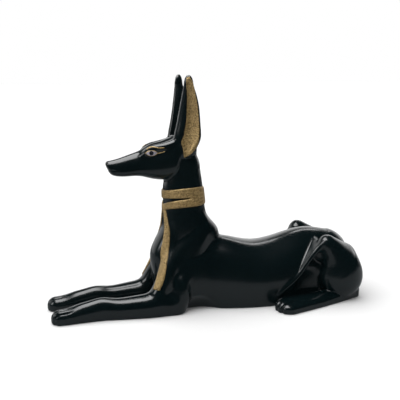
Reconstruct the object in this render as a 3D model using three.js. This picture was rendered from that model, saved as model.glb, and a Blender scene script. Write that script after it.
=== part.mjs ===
// A recumbent jackal figure, cast in one piece in porcelain, with a scarf in low relief round its neck.
// Millimetres, +Z up. The head points to -X, and the origin is on the ground under the middle of the
// figure.
// The form is one smooth solid: body, neck, head, ears and limbs are blended into each other, as modelled
// clay is.
import * as THREE from 'three';

// Driving sizes of the whole figure. Its pose and carving follow them as shares of its length, width and
// height.
const LENGTH = 358;
const WIDTH = 146;
const HEIGHT = 256;

// Relief, grooves and edges.
const SCARF_RELIEF = 1.1;
const RIBBON_RELIEF = 1.0;
const RELIEF_EDGE = 1.6;
const GROUND_EDGE_ROUNDING = 1.8;
const MOUTH_LINE_DEPTH = 1.0;
const JAW_CREASE_DEPTH = 1.2;

// Fineness of the faceted solid.
const SAMPLING_STEP = 2.4;
const FACET_COUNT = 8800;
// Facets on the head count for more than elsewhere, because its carving is finer.
const HEAD_DETAIL = 4;
// How far from flat a patch has to be before its best point counts, how much even edges count, the least
// cosine of a facet's turn, and the area below which a facet isn't made slimmer, as a share of its longest
// side squared.
const FLATNESS = 1e-5;
const EVENNESS = 2e-3;
const LARGEST_TURN = 0.3;
const SLIVER = 0.01;
const DEGENERATE = 0.003;
const GROUND_TOLERANCE = 0.05;
// Space that is searched for the surface.
const SAMPLED_LOW = [-188, -80, -4];
const SAMPLED_HIGH = [188, 80, 262];

// Toes on each foot.
const TOE_COUNT = 4;

const GLAZE = { color: 0x0b1113, roughness: 0.08, metalness: 0 };

// Sections of each form, drawn on one side of the figure. A pair is mirrored to the other side.
// Trunk, from the chest back to the rump: x, top, level of the greatest width, half width.
const TRUNK_SECTIONS = [
  [-34, 80, 34, 24],
  [-10, 79, 30, 28],
  [18, 76, 28, 36.4],
  [52, 68.2, 26, 42.4],
  [84, 71.2, 27, 42.2],
  [118, 78.4, 30, 37],
  [146, 74.4, 34, 31.5],
];
const TRUNK_UNDERSIDE = -60;
const TRUNK_ENDS = { first: 20, last: 30 };

// Chest and neck, from the ground up: z, front, back, place of the greatest width, half width.
const CHEST_SECTIONS = [
  [8, -58, 10, -34, 26],
  [30, -62.5, 12, -33, 29.4],
  [48, -66, 12, -31, 28],
  [63, -66.6, 12, -29, 26.2],
  [78, -60.4, 12, -27, 25.2],
  [90, -54.6, 8, -27, 24.4],
  [101, -52.6, -1.2, -27, 23],
  [117, -51.4, -5.4, -28, 20.4],
  [136, -51.4, -7.4, -29, 18.6],
  [156, -47, -10.4, -29.5, 17.2],
];
const CHEST_ENDS = { first: 20, last: 24 };

// Foreleg, from the toes back to the elbow: x, top, level of the greatest width, half width, and the
// distance of its centre from the middle.
const FORELEG_SECTIONS = [
  [-169, 14.4, 6, 10.2, 21.6],
  [-160, 15.6, 6.5, 10.2, 21.4],
  [-151, 18.2, 7, 9.9, 21],
  [-138, 21, 8, 9.8, 20.8],
  [-126, 23, 9, 9.8, 20.8],
  [-111, 21.4, 9, 10.6, 22.2],
  [-96, 21.8, 9.5, 11.6, 23.6],
  [-70, 24, 10, 13.2, 25.2],
  [-48, 24, 10, 12.2, 25],
];
const FORELEG_UNDERSIDE = -12;
const FORELEG_ENDS = { first: 10, last: 11 };

// Head, from the muzzle to the cheeks: x, top, bottom, level of the greatest width, half width.
const HEAD_SECTIONS = [
  [-109.5, 166.8, 151.6, 159, 6.2],
  [-100, 169, 149.4, 157.5, 7.6],
  [-88, 172.9, 149.2, 158, 9.2],
  [-75, 177.8, 148.4, 159.5, 11.4],
  [-66, 183, 146, 161, 14],
  [-58, 185.2, 144.4, 163, 16.6],
  [-49, 187.4, 144, 165, 18.6],
  [-42, 189.4, 145.6, 166, 19.2],
];
const HEAD_ENDS = { first: 8, last: 9 };
const SKULL = { centre: [-36, 0, 174.4], halves: [22.5, 17, 16.2], pitch: 0.2 };
// The front of the nose slopes back from its tip to the chin.
const NOSE_TIP = { x: -115.2, z: 165 };
const NOSE_SLOPE = 0.45;
// Ridge along each side of the forehead, and the hollow that holds the eye: x, distance from the middle, z,
// radius.
const BROW_RIDGE = [
  [-75.4, 6.6, 171, 3],
  [-66, 9.8, 178, 4.2],
  [-54, 12.2, 180.6, 4.6],
  [-42, 12, 184, 4.4],
];
const EYE_SOCKET = { centre: [-67, 19.6, 172.5], halves: [13, 4.8, 7.5], pitch: 0.15 };
const EYE_BULGE = { centre: [-67.5, 10.2, 174.8], halves: [6.4, 4.3, 4], pitch: 0.1 };
const MOUTH_LINE = [
  [-112, 3, 157.2],
  [-104, 8, 156],
  [-94, 9.6, 155.5],
  [-83, 11.2, 156],
  [-73, 13.4, 154.6],
  [-66, 16, 151.8],
];
const JAW_EDGE = [
  [-31.6, 19, 169.5],
  [-33.6, 19.6, 161.5],
  [-36.6, 19.6, 154.8],
  [-42, 18.6, 148.6],
  [-49, 16, 144.6],
  [-57, 8, 143.4],
];

// Ear, from its root up to the tip: z, front, back, centre from the middle, half thickness.
const EAR_SECTIONS = [
  [178, -38.5, -19.6, 16, 5.6],
  [189, -42.4, -15, 16.2, 7],
  [197, -41.4, -14.6, 16.4, 7],
  [206, -39.4, -15.2, 16.6, 6.6],
  [221, -36.8, -16.4, 17.3, 5.8],
  [235, -34.5, -19.4, 18.4, 4.6],
  [246, -32.9, -23.2, 19.5, 3],
];
const EAR_ENDS = { first: 9, last: 10.4 };
// The back edge of an ear lies further out than its front edge, by this much for each millimetre.
const EAR_TURN = 0.26;

// Hollow of the ear, which opens sideways: z, front, back, centre from the middle, depth.
const EAR_HOLLOW_SECTIONS = [
  [176, -35.6, -25, 25.5, 6],
  [189, -37, -16.8, 26, 7],
  [206, -32.4, -16.4, 25.6, 7],
  [221, -31.4, -17.8, 24.8, 6],
  [235, -31.2, -20.2, 24.4, 5],
  [246, -31, -23.8, 23.4, 3],
];
const EAR_HOLLOW_ENDS = { first: 8, last: 7 };

// Hind foot, from the toes back to the heel: place along the foot, top, level, half width, bend of its
// centre.
const FOOT_TOES = new THREE.Vector2(72.3, 58.2);
const FOOT_HEEL = new THREE.Vector2(168, 32.4);
const FOOT_SECTIONS = [
  [0, 11.8, 5, 15.1, 0],
  [18, 12.6, 5, 14.2, 0.8],
  [42, 12.8, 5, 12.6, 1.8],
  [72, 15, 6, 10.8, 1.8],
  [98, 18, 8, 9.4, 0.4],
];
const FOOT_UNDERSIDE = -16;
const FOOT_ENDS = { first: 11.5, last: 7.5 };

// Eggs and strands of the limbs and muscles: centres, half sizes, and points with a radius each.
const UPPER_ARM = [
  [-16, 20, 51, 5],
  [-26, 20.4, 44.5, 7.4],
  [-34, 21.6, 38, 9.4],
  [-40, 23.6, 31, 12],
  [-41, 24.4, 20, 13.2],
  [-46, 24.4, 6, 12.6],
];
const FOREARM_ROOT = [
  [-44, 12, 66, 9],
  [-50, 20, 50, 10],
  [-57, 23, 33, 10.6],
  [-67, 25, 15, 10.5],
];
const SHOULDER = { centre: [-18, 15, 27], halves: [24, 14.5, 46], pitch: 0.1 };
// Hollow at the ground, between the elbow and the belly.
const BELLY_RECESS = { centre: [-22, 44, -3], halves: [30, 26, 24] };
const THIGH = [
  [129, 39.5, 67.5, 8],
  [138, 39, 55, 13.5],
  [149, 36, 41, 19.6],
];
const CALF = { centre: [149, 37, 27], halves: [26.6, 21, 27] };
const KNEE_TO_HIP = [
  [129, 39.5, 67.5, 8],
  [143, 34, 60, 9],
  [157, 28, 51, 12],
];
const KNEE_ROOT = [
  [122, 31, 54, 8],
  [136, 28, 58, 11],
];
const FLANK_FOLD = [
  [122, 40.5, 67, 3.4],
  [112, 41, 57, 3],
  [101, 41, 43, 2.8],
  [92, 41, 31, 2.4],
  [77, 41.5, 19, 2.4],
  [66, 39.5, 8, 2.4],
  [58, 37, 1, 2.4],
];
const FLANK_HOLLOW = { centre: [110, 50, 20], halves: [27, 17, 26], pitch: 0.5 };
const TAIL = [
  [160, 0, 56, 8],
  [170, 2, 36, 7.2],
  [170.5, 9, 15, 7.2],
  [169, 19, 2, 7.5],
];
// Clay left between the hind foot and the flank, low on the ground.
const FOOT_WEB = [
  [78, 44, -1, 10],
  [108, 43, -3, 12],
  [138, 38, -2, 13],
  [164, 26, -2, 14],
];
// Creases between the muscles of the neck and shoulder, seen from the side: x, z and depth. Above a crease
// the surface sinks slowly towards it, and below it rises again fast.
const NECK_CREASE = [
  [-64, 46, 0],
  [-50, 66, 4],
  [-44.6, 73.5, 4],
  [-34, 82.5, 3.2],
  [-18, 93.6, 2.2],
  [-5, 102, 0],
];
const SHOULDER_CREASE = [
  [-44, 57, 0],
  [-31, 60, 0.6],
  [-18, 61.5, 1.6],
  [-10, 65.5, 1.7],
  [-4.5, 71, 1],
  [0, 77, 0.3],
  [4, 84, 0],
];
const NECK_CREASE_REACH = { above: 18, below: 9 };
const SHOULDER_CREASE_REACH = { above: 11, below: 9 };
const CREASE_FADE = 1.3;
const HALF_STEP = 0.5;
const CREASE_SIDE = { from: 8, to: 18 };

// Scarf round the neck, by the angle from the front in degrees: its top edge, the top and bottom edge of
// the gap between its two bands, and its bottom edge. Behind, the gap is closed.
const SCARF_EDGES = [
  [0, 132.2, 123, 116.4, 109.8],
  [40, 134.2, 124.8, 121.6, 113.4],
  [70, 135.6, 125.3, 123.6, 115],
  [95, 136, 125, 124.6, 115.6],
  [120, 136, 123, 126, 115.8],
  [180, 134.6, 122, 127, 116],
];
const SCARF_AXIS = -28;

// One end of the scarf, hanging down over the chest onto the foreleg: x, distance from the middle, z, half
// width.
const RIBBON = [
  [-51.2, 3.6, 112, 2.6],
  [-50.8, 8.2, 100.3, 3],
  [-50.8, 11.3, 91, 3.7],
  [-52.8, 15, 79, 4.1],
  [-55, 17.2, 69.4, 4.8],
  [-57.6, 20.7, 60, 5.4],
  [-60, 24.4, 50, 5.8],
  [-63.4, 28, 40, 5.4],
  [-68.4, 30.6, 30, 4.4],
];

// Points that a strand is smoothed through, between two of those above.
const STRAND_STEPS = 6;

// Toes of a fore and a hind foot: the middle of the row, the width of a toe, the depth of the grooves, and
// where they end.
const FORE_TOES = { middle: 23.1, width: 4.9, depth: 1.6, end: -155 };
const HIND_TOES = { middle: -3, width: 7.6, depth: 2.2, end: 14 };
const TOE_SHAPE = 3;
const TOE_FADE = 10;

// Beyond these limits a group of forms no longer reaches the surface.
const TORSO_TOP = 140;
const WAIST = 36;
const HEAD_BOTTOM = 125;
const FAR_AWAY = 16;
const SCARF_RANGE = { from: 22, low: 106, to: 140, back: 6 };

// Fillets between the forms.
const WITHERS_FILLET = 7;
const ARM_FILLET = 4;
const SHOULDER_FILLET = 12;
const LIMB_FILLET = 8;
const THIGH_FILLET = 12;
const FOLD_FILLET = 5;
const FOOT_FILLET = 3;
const JAW_FILLET = 4;
const FACE_FILLET = 5;
const EAR_FILLET = 5;
const EAR_HOLLOW_EDGE = 1;
const CARVED_EDGE = 1.5;

// Smooth curve through a few stations: a natural cubic spline of one column over the first one.
function curve(stations, column) {
  const count = stations.length;
  const at = stations.map((row) => row[0]);
  const value = stations.map((row) => row[column]);
  const bend = new Array(count).fill(0);
  const upper = new Array(count).fill(0);
  for (let i = 1; i < count - 1; i += 1) {
    const before = at[i] - at[i - 1];
    const after = at[i + 1] - at[i];
    const pivot = 2 * (before + after) - before * upper[i - 1];
    const jump = (value[i + 1] - value[i]) / after - (value[i] - value[i - 1]) / before;
    upper[i] = after / pivot;
    bend[i] = (6 * jump - before * bend[i - 1]) / pivot;
  }
  for (let i = count - 2; i > 0; i -= 1) {
    bend[i] -= upper[i] * bend[i + 1];
  }
  return (t) => {
    if (t <= at[0]) return value[0];
    if (t >= at[count - 1]) return value[count - 1];
    let i = 1;
    while (t > at[i]) i += 1;
    const span = at[i] - at[i - 1];
    const right = (t - at[i - 1]) / span;
    const left = 1 - right;
    const sag = (left ** 3 - left) * bend[i - 1] + (right ** 3 - right) * bend[i];
    return left * value[i - 1] + right * value[i] + (sag * span * span) / 6;
  };
}

// Joins two forms with a soft fillet of about the given radius.
function blend(a, b, radius) {
  const overlap = Math.max(radius - Math.abs(a - b), 0) / radius;
  return Math.min(a, b) - (overlap ** 3 * radius) / 6;
}

// Keeps only what lies in both forms, with a softened edge.
function share(a, b, radius) {
  return -blend(-a, -b, radius);
}

// Distance to an egg of half sizes a, b and c, from the coordinates of a point as shares of them.
function eggDistance(q, r, s, a, b, c) {
  const reach = Math.sqrt(q * q + r * r + s * s);
  const slope = Math.sqrt((q / a) ** 2 + (r / b) ** 2 + (s / c) ** 2);
  return slope < 1e-9 ? -Math.min(a, b, c) : (reach * (reach - 1)) / slope;
}

// Form whose section at t is made of two half ellipses on a common width, with rounded ends. The columns
// name what each value of a station is: the high and the low side, the level of the greatest width, the
// half width, and the distance from the middle.
function loft(stations, columns, ends, { underside, turn = 0 } = {}) {
  const first = stations[0][0];
  const last = stations.at(-1)[0];
  const value = {};
  columns.forEach((name, i) => {
    value[name] = curve(stations, i + 1);
  });
  return (t, side, rise) => {
    const low = value.low ? value.low(t) : underside;
    const high = value.high(t);
    const middle = value.level ? value.level(t) : (low + high) / 2;
    const half = value.width(t);
    const extent = rise > middle ? high - middle : middle - low;
    const cap = t > last ? ends.last : ends.first;
    const beyond = t > last ? t - last : Math.max(first - t, 0);
    const aside = value.aside ? value.aside(t) + turn * (rise - middle) : 0;
    return eggDistance((side - aside) / half, (rise - middle) / extent, beyond / cap, half, extent, cap);
  };
}

// Egg with its own half sizes, pitched about the side axis.
function egg({ centre, halves, pitch = 0 }) {
  const cos = Math.cos(pitch);
  const sin = Math.sin(pitch);
  return (x, y, z) => {
    const dx = x - centre[0];
    const dz = z - centre[2];
    const q = (cos * dx + sin * dz) / halves[0];
    const r = (y - centre[1]) / halves[1];
    const s = (cos * dz - sin * dx) / halves[2];
    return eggDistance(q, r, s, ...halves);
  };
}

// Strand along a few points, each with its own radius, smoothed between them. Far from it, only its box
// counts.
// A deep one reaches inwards from its points to the middle of the figure, as a fold of skin does.
function strand(points, { deep = false } = {}) {
  const steps = STRAND_STEPS;
  const keys = points.map((point, i) => [i, ...point]);
  const follow = [1, 2, 3, 4].map((column) => curve(keys, column));
  const chain = [];
  for (let i = 0; i <= (points.length - 1) * steps; i += 1) {
    chain.push(follow.map((at) => at(i / steps)));
  }
  const thickest = Math.max(...chain.map((point) => point[3]));
  const low = [0, 1, 2].map((axis) => Math.min(...chain.map((point) => point[axis])) - thickest);
  const high = [0, 1, 2].map((axis) => Math.max(...chain.map((point) => point[axis])) + thickest);
  return (x, y, z) => {
    const outX = Math.max(low[0] - x, x - high[0], 0);
    const outY = Math.max(deep ? 0 : low[1] - y, y - high[1], 0);
    const outZ = Math.max(low[2] - z, z - high[2], 0);
    const away = Math.max(outX, outY, outZ);
    if (away > FAR_AWAY) return away;
    let nearest = Infinity;
    for (let i = 1; i < chain.length; i += 1) {
      const [ax, ay, az, ar] = chain[i - 1];
      const [bx, by, bz, br] = chain[i];
      const dx = bx - ax;
      const dy = by - ay;
      const dz = bz - az;
      const reach = deep ? Math.max(y, ay + dy / 2) : y;
      const along = ((x - ax) * dx + (reach - ay) * dy + (z - az) * dz) / (dx * dx + dy * dy + dz * dz);
      const h = Math.min(Math.max(along, 0), 1);
      const gapX = x - ax - dx * h;
      const gapY = deep ? Math.max(y - ay - dy * h, 0) : y - ay - dy * h;
      const gapZ = z - az - dz * h;
      const gap = Math.sqrt(gapX * gapX + gapY * gapY + gapZ * gapZ);
      nearest = Math.min(nearest, gap - ar - (br - ar) * h);
    }
    return nearest;
  };
}

// Smooth step from none at zero to all at one.
function ease(t) {
  const h = Math.min(Math.max(t, 0), 1);
  return h * h * (3 - 2 * h);
}

// Depth of a crease on the side of the figure, which runs from front to back.
function crease(points, reach) {
  const level = curve(points, 1);
  const depth = curve(points, 2);
  return (x, z) => {
    if (x <= points[0][0] || x >= points.at(-1)[0]) return 0;
    const lean = (level(x + HALF_STEP) - level(x - HALF_STEP)) / (2 * HALF_STEP);
    const above = (z - level(x)) / Math.hypot(1, lean);
    const fade = Math.min(Math.max(1 - above / reach.above, 0), 1) ** CREASE_FADE;
    return Math.max(depth(x), 0) * (above > 0 ? fade : ease(1 + above / reach.below));
  };
}

// How deep the surface sinks between the toes of a foot. The outer toes stay round on their free side.
function toeGrooves(along, across, toes) {
  const row = (across - toes.middle) / toes.width + TOE_COUNT / 2;
  const place = Math.min(Math.max(row, 0.5), TOE_COUNT - 0.5);
  const offMiddle = 2 * Math.abs(place - Math.floor(place) - 0.5);
  return toes.depth * offMiddle ** TOE_SHAPE * ease((toes.end - along) / TOE_FADE);
}

// Place on the scarf, as a distance from its nearest edge: less than zero inside.
function scarf(x, side, z) {
  const angle = THREE.MathUtils.radToDeg(Math.atan2(side, SCARF_AXIS - x));
  const band = Math.max(z - scarfEdge.top(angle), scarfEdge.bottom(angle) - z);
  const gap = Math.max(z - scarfEdge.gapTop(angle), scarfEdge.gapBottom(angle) - z);
  return Math.max(band, -gap);
}

const scarfEdge = {
  top: curve(SCARF_EDGES, 1),
  gapTop: curve(SCARF_EDGES, 2),
  gapBottom: curve(SCARF_EDGES, 3),
  bottom: curve(SCARF_EDGES, 4),
};
const ribbon = strand(RIBBON);
const trunk = loft(TRUNK_SECTIONS, ['high', 'level', 'width'], TRUNK_ENDS, {
  underside: TRUNK_UNDERSIDE,
});
const chest = loft(CHEST_SECTIONS, ['low', 'high', 'level', 'width'], CHEST_ENDS);
const foreleg = loft(FORELEG_SECTIONS, ['high', 'level', 'width', 'aside'], FORELEG_ENDS, {
  underside: FORELEG_UNDERSIDE,
});
const face = loft(HEAD_SECTIONS, ['high', 'low', 'level', 'width'], HEAD_ENDS);
const ear = loft(EAR_SECTIONS, ['low', 'high', 'aside', 'width'], EAR_ENDS, { turn: EAR_TURN });
const earHollow = loft(EAR_HOLLOW_SECTIONS, ['low', 'high', 'aside', 'width'], EAR_HOLLOW_ENDS, {
  turn: EAR_TURN,
});
const foot = loft(FOOT_SECTIONS, ['high', 'level', 'width', 'aside'], FOOT_ENDS, {
  underside: FOOT_UNDERSIDE,
});
const footAxis = FOOT_HEEL.clone().sub(FOOT_TOES).normalize();
const upperArm = strand(UPPER_ARM);
const forearmRoot = strand(FOREARM_ROOT);
const shoulder = egg(SHOULDER);
const bellyRecess = egg(BELLY_RECESS);
const neckCrease = crease(NECK_CREASE, NECK_CREASE_REACH);
const shoulderCrease = crease(SHOULDER_CREASE, SHOULDER_CREASE_REACH);
const thigh = strand(THIGH);
const calf = egg(CALF);
const kneeToHip = strand(KNEE_TO_HIP);
const kneeRoot = strand(KNEE_ROOT);
const flankFold = strand(FLANK_FOLD, { deep: true });
const flankHollow = egg(FLANK_HOLLOW);
const tail = strand(TAIL);
const footWeb = strand(FOOT_WEB);
const skull = egg(SKULL);
const eyeSocket = egg(EYE_SOCKET);
const eyeBulge = egg(EYE_BULGE);
const browRidge = strand(BROW_RIDGE);
const mouthLine = strand(MOUTH_LINE.map((point) => [...point, MOUTH_LINE_DEPTH]));
const jawEdge = strand(JAW_EDGE.map((point) => [...point, JAW_CREASE_DEPTH]));

// Hind foot, in its own direction on the ground.
function hindFoot(x, side, z) {
  const dx = x - FOOT_TOES.x;
  const dy = side - FOOT_TOES.y;
  const along = dx * footAxis.x + dy * footAxis.y;
  const across = dy * footAxis.x - dx * footAxis.y;
  return foot(along, across, z) + toeGrooves(along, across, HIND_TOES);
}

// Haunch: the folded hind leg beside the rump, the fold of skin in front of it, and its foot.
function haunch(body, x, side, z) {
  let form = share(body, -flankHollow(x, side, z), FOLD_FILLET);
  let leg = blend(thigh(x, side, z), calf(x, side, z), THIGH_FILLET);
  leg = blend(leg, kneeToHip(x, side, z), THIGH_FILLET);
  leg = blend(leg, kneeRoot(x, side, z), THIGH_FILLET);
  form = blend(form, leg, FOLD_FILLET);
  form = blend(form, flankFold(x, side, z), FOLD_FILLET);
  form = blend(form, footWeb(x, side, z), FOLD_FILLET);
  return blend(form, hindFoot(x, side, z), FOOT_FILLET);
}

// Fore quarter: the shoulder with its creases, and the foreleg stretched out on the ground.
function foreQuarter(body, x, side, z) {
  let form = blend(body, shoulder(x, side, z), SHOULDER_FILLET);
  form = share(form, -bellyRecess(x, side, z), FOLD_FILLET);
  form = blend(form, upperArm(x, side, z), ARM_FILLET);
  const strength = ease((side - CREASE_SIDE.from) / (CREASE_SIDE.to - CREASE_SIDE.from));
  form += (neckCrease(x, z) + shoulderCrease(x, z)) * strength;
  form = blend(form, forearmRoot(x, side, z), LIMB_FILLET);
  const leg = foreleg(x, side, z) + toeGrooves(x, side, FORE_TOES);
  return blend(form, leg, LIMB_FILLET);
}

// Head with its ears.
function head(x, side, z) {
  const noseFront = (NOSE_TIP.x - x - NOSE_SLOPE * (z - NOSE_TIP.z)) / Math.hypot(1, NOSE_SLOPE);
  let form = share(face(x, side, z), noseFront, FACE_FILLET);
  form = blend(form, browRidge(x, side, z), FACE_FILLET);
  form = blend(form, skull(x, side, z), FACE_FILLET);
  form = share(form, -eyeSocket(x, side, z), FACE_FILLET);
  form = blend(form, eyeBulge(x, side, z), CARVED_EDGE);
  form = share(form, -mouthLine(x, side, z), CARVED_EDGE);
  const hollowEar = share(ear(z, side, x), -earHollow(z, side, x), EAR_HOLLOW_EDGE);
  return blend(form, hollowEar, EAR_FILLET);
}

// Height of the scarf and its ribbons over the body.
function scarfRelief(x, side, z) {
  if (z > SCARF_RANGE.to || z < SCARF_RANGE.from || x > SCARF_RANGE.back) return 0;
  const wrap = z > SCARF_RANGE.low ? SCARF_RELIEF * ease(0.5 - scarf(x, side, z) / RELIEF_EDGE) : 0;
  const end = RIBBON_RELIEF * ease(0.5 - ribbon(x, side, z) / RELIEF_EDGE);
  return Math.max(wrap, end);
}

// Distance to the whole figure: less than zero inside.
function figure(x, y, z) {
  const side = Math.abs(y);
  let form = blend(trunk(x, y, z), chest(z, y, x), WITHERS_FILLET);
  if (z < TORSO_TOP && x < WAIST) form = foreQuarter(form, x, side, z);
  if (z < TORSO_TOP && x >= WAIST) {
    form = haunch(form, x, side, z);
    form = blend(form, tail(x, y, z), LIMB_FILLET);
  }
  if (z > HEAD_BOTTOM) {
    form = blend(form, head(x, side, z), JAW_FILLET);
    form = share(form, -jawEdge(x, side, z), CARVED_EDGE);
  }
  form -= scarfRelief(x, side, z);
  return share(form, -z, GROUND_EDGE_ROUNDING);
}

// Samples the figure on a grid and follows its surface through six tetrahedra a cell, which always closes
// it.
function polygonise(distance, box, step) {
  const size = box.getSize(new THREE.Vector3());
  const nx = Math.ceil(size.x / step) + 1;
  const ny = Math.ceil(size.y / step) + 1;
  const nz = Math.ceil(size.z / step) + 1;
  const value = new Float64Array(nx * ny * nz);
  const place = (i, j, k) => (k * ny + j) * nx + i;
  const block = 4;
  const blockReach = block * step * Math.sqrt(3) * 0.75;
  const active = [];
  for (let k = 0; k < nz; k += block) {
    for (let j = 0; j < ny; j += block) {
      for (let i = 0; i < nx; i += block) {
        const middle = (block / 2) * step;
        const centre = distance(
          box.min.x + i * step + middle,
          box.min.y + j * step + middle,
          box.min.z + k * step + middle,
        );
        const near = Math.abs(centre) < blockReach;
        if (near) active.push([i, j, k]);
        for (let c = k; c < Math.min(k + block, nz); c += 1) {
          for (let b = j; b < Math.min(j + block, ny); b += 1) {
            for (let a = i; a < Math.min(i + block, nx); a += 1) {
              value[place(a, b, c)] = near
                ? distance(box.min.x + a * step, box.min.y + b * step, box.min.z + c * step)
                : centre;
            }
          }
        }
      }
    }
  }
  const positions = [];
  const vertexOf = new Map();
  const corner = [0, 1, nx, nx + 1, nx * ny, nx * ny + 1, nx * ny + nx, nx * ny + nx + 1];
  const tetrahedra = [
    [0, 1, 3, 7],
    [0, 3, 2, 7],
    [0, 2, 6, 7],
    [0, 6, 4, 7],
    [0, 4, 5, 7],
    [0, 5, 1, 7],
  ];
  const point = (index) => [
    box.min.x + (index % nx) * step,
    box.min.y + (Math.floor(index / nx) % ny) * step,
    box.min.z + Math.floor(index / (nx * ny)) * step,
  ];
  const crossing = (a, b) => {
    const key = a < b ? a * value.length + b : b * value.length + a;
    let vertex = vertexOf.get(key);
    if (vertex === undefined) {
      const pa = point(a);
      const pb = point(b);
      const h = Math.min(Math.max(value[a] / (value[a] - value[b]), 0.02), 0.98);
      vertex = positions.length / 3;
      positions.push(pa[0] + (pb[0] - pa[0]) * h, pa[1] + (pb[1] - pa[1]) * h, pa[2] + (pb[2] - pa[2]) * h);
      vertexOf.set(key, vertex);
    }
    return vertex;
  };
  const faces = [];
  const cell = (origin) => {
    for (const [p, q, r, s] of tetrahedra) {
      const nodes = [origin + corner[p], origin + corner[q], origin + corner[r], origin + corner[s]];
      const inside = nodes.filter((n) => value[n] < 0);
      if (inside.length === 0 || inside.length === 4) continue;
      const outside = nodes.filter((n) => value[n] >= 0);
      const ring =
        inside.length === 2
          ? [
              crossing(inside[0], outside[0]),
              crossing(inside[0], outside[1]),
              crossing(inside[1], outside[1]),
              crossing(inside[1], outside[0]),
            ]
          : inside.length === 1
            ? outside.map((n) => crossing(inside[0], n))
            : inside.map((n) => crossing(n, outside[0]));
      faces.push(...facing(ring, point(inside[0]), point(outside[0]), positions));
    }
  };
  for (const [i0, j0, k0] of active) {
    for (let k = k0; k < Math.min(k0 + block, nz - 1); k += 1) {
      for (let j = j0; j < Math.min(j0 + block, ny - 1); j += 1) {
        for (let i = i0; i < Math.min(i0 + block, nx - 1); i += 1) {
          cell(place(i, j, k));
        }
      }
    }
  }
  return { positions, faces };
}

// Triangles of a ring of three or four vertices, turned so that they face from the inner to the outer
// point.
function facing(ring, inner, outer, positions) {
  const p = ring.map((v) => new THREE.Vector3().fromArray(positions, v * 3));
  const normal = p[1].clone().sub(p[0]).cross(p[2].clone().sub(p[0]));
  if (ring.length === 4) {
    normal.add(p[2].clone().sub(p[0]).cross(p[3].clone().sub(p[0])));
  }
  const outward = new THREE.Vector3().fromArray(outer).sub(new THREE.Vector3().fromArray(inner));
  const order = normal.dot(outward) < 0 ? [...ring].reverse() : ring;
  const triangles = [[order[0], order[1], order[2]]];
  if (ring.length === 4) triangles.push([order[0], order[2], order[3]]);
  return triangles;
}

// Sum of squared distances to planes: a symmetric matrix of ten numbers, added up at each vertex.
function addPlane(quadrics, at, plane, weight) {
  let slot = at * 10;
  for (let i = 0; i < 4; i += 1) {
    for (let j = i; j < 4; j += 1) {
      quadrics[slot] += plane[i] * plane[j] * weight;
      slot += 1;
    }
  }
}

function quadricError(q, x, y, z) {
  return (
    q[0] * x * x + 2 * q[1] * x * y + 2 * q[2] * x * z + 2 * q[3] * x +
    q[4] * y * y + 2 * q[5] * y * z + 2 * q[6] * y +
    q[7] * z * z + 2 * q[8] * z + q[9]
  );
}

// Point of least error for a quadric, or nothing where its planes don't meet in one point.
function bestPoint(q) {
  const a = q[4] * q[7] - q[5] * q[5];
  const b = q[2] * q[5] - q[1] * q[7];
  const c = q[1] * q[5] - q[2] * q[4];
  const det = q[0] * a + q[1] * b + q[2] * c;
  const scale = (q[0] + q[4] + q[7]) ** 3;
  if (Math.abs(det) < FLATNESS * scale) return null;
  const d = q[0] * q[7] - q[2] * q[2];
  const e = q[1] * q[2] - q[0] * q[5];
  const f = q[0] * q[4] - q[1] * q[1];
  return [
    -(a * q[3] + b * q[6] + c * q[8]) / det,
    -(b * q[3] + d * q[6] + e * q[8]) / det,
    -(c * q[3] + e * q[6] + f * q[8]) / det,
  ];
}

// Queue that always gives its cheapest entry first.
class CheapestFirst {
  constructor() {
    this.heap = [];
  }

  push(entry) {
    const heap = this.heap;
    let at = heap.push(entry) - 1;
    while (at > 0) {
      const parent = (at - 1) >> 1;
      if (heap[parent].cost <= entry.cost) break;
      heap[at] = heap[parent];
      at = parent;
    }
    heap[at] = entry;
  }

  pop() {
    const heap = this.heap;
    const top = heap[0];
    const entry = heap.pop();
    if (heap.length === 0) return top;
    let at = 0;
    for (;;) {
      let child = 2 * at + 1;
      if (child >= heap.length) break;
      if (child + 1 < heap.length && heap[child + 1].cost < heap[child].cost) child += 1;
      if (heap[child].cost >= entry.cost) break;
      heap[at] = heap[child];
      at = child;
    }
    heap[at] = entry;
    return top;
  }
}

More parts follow.
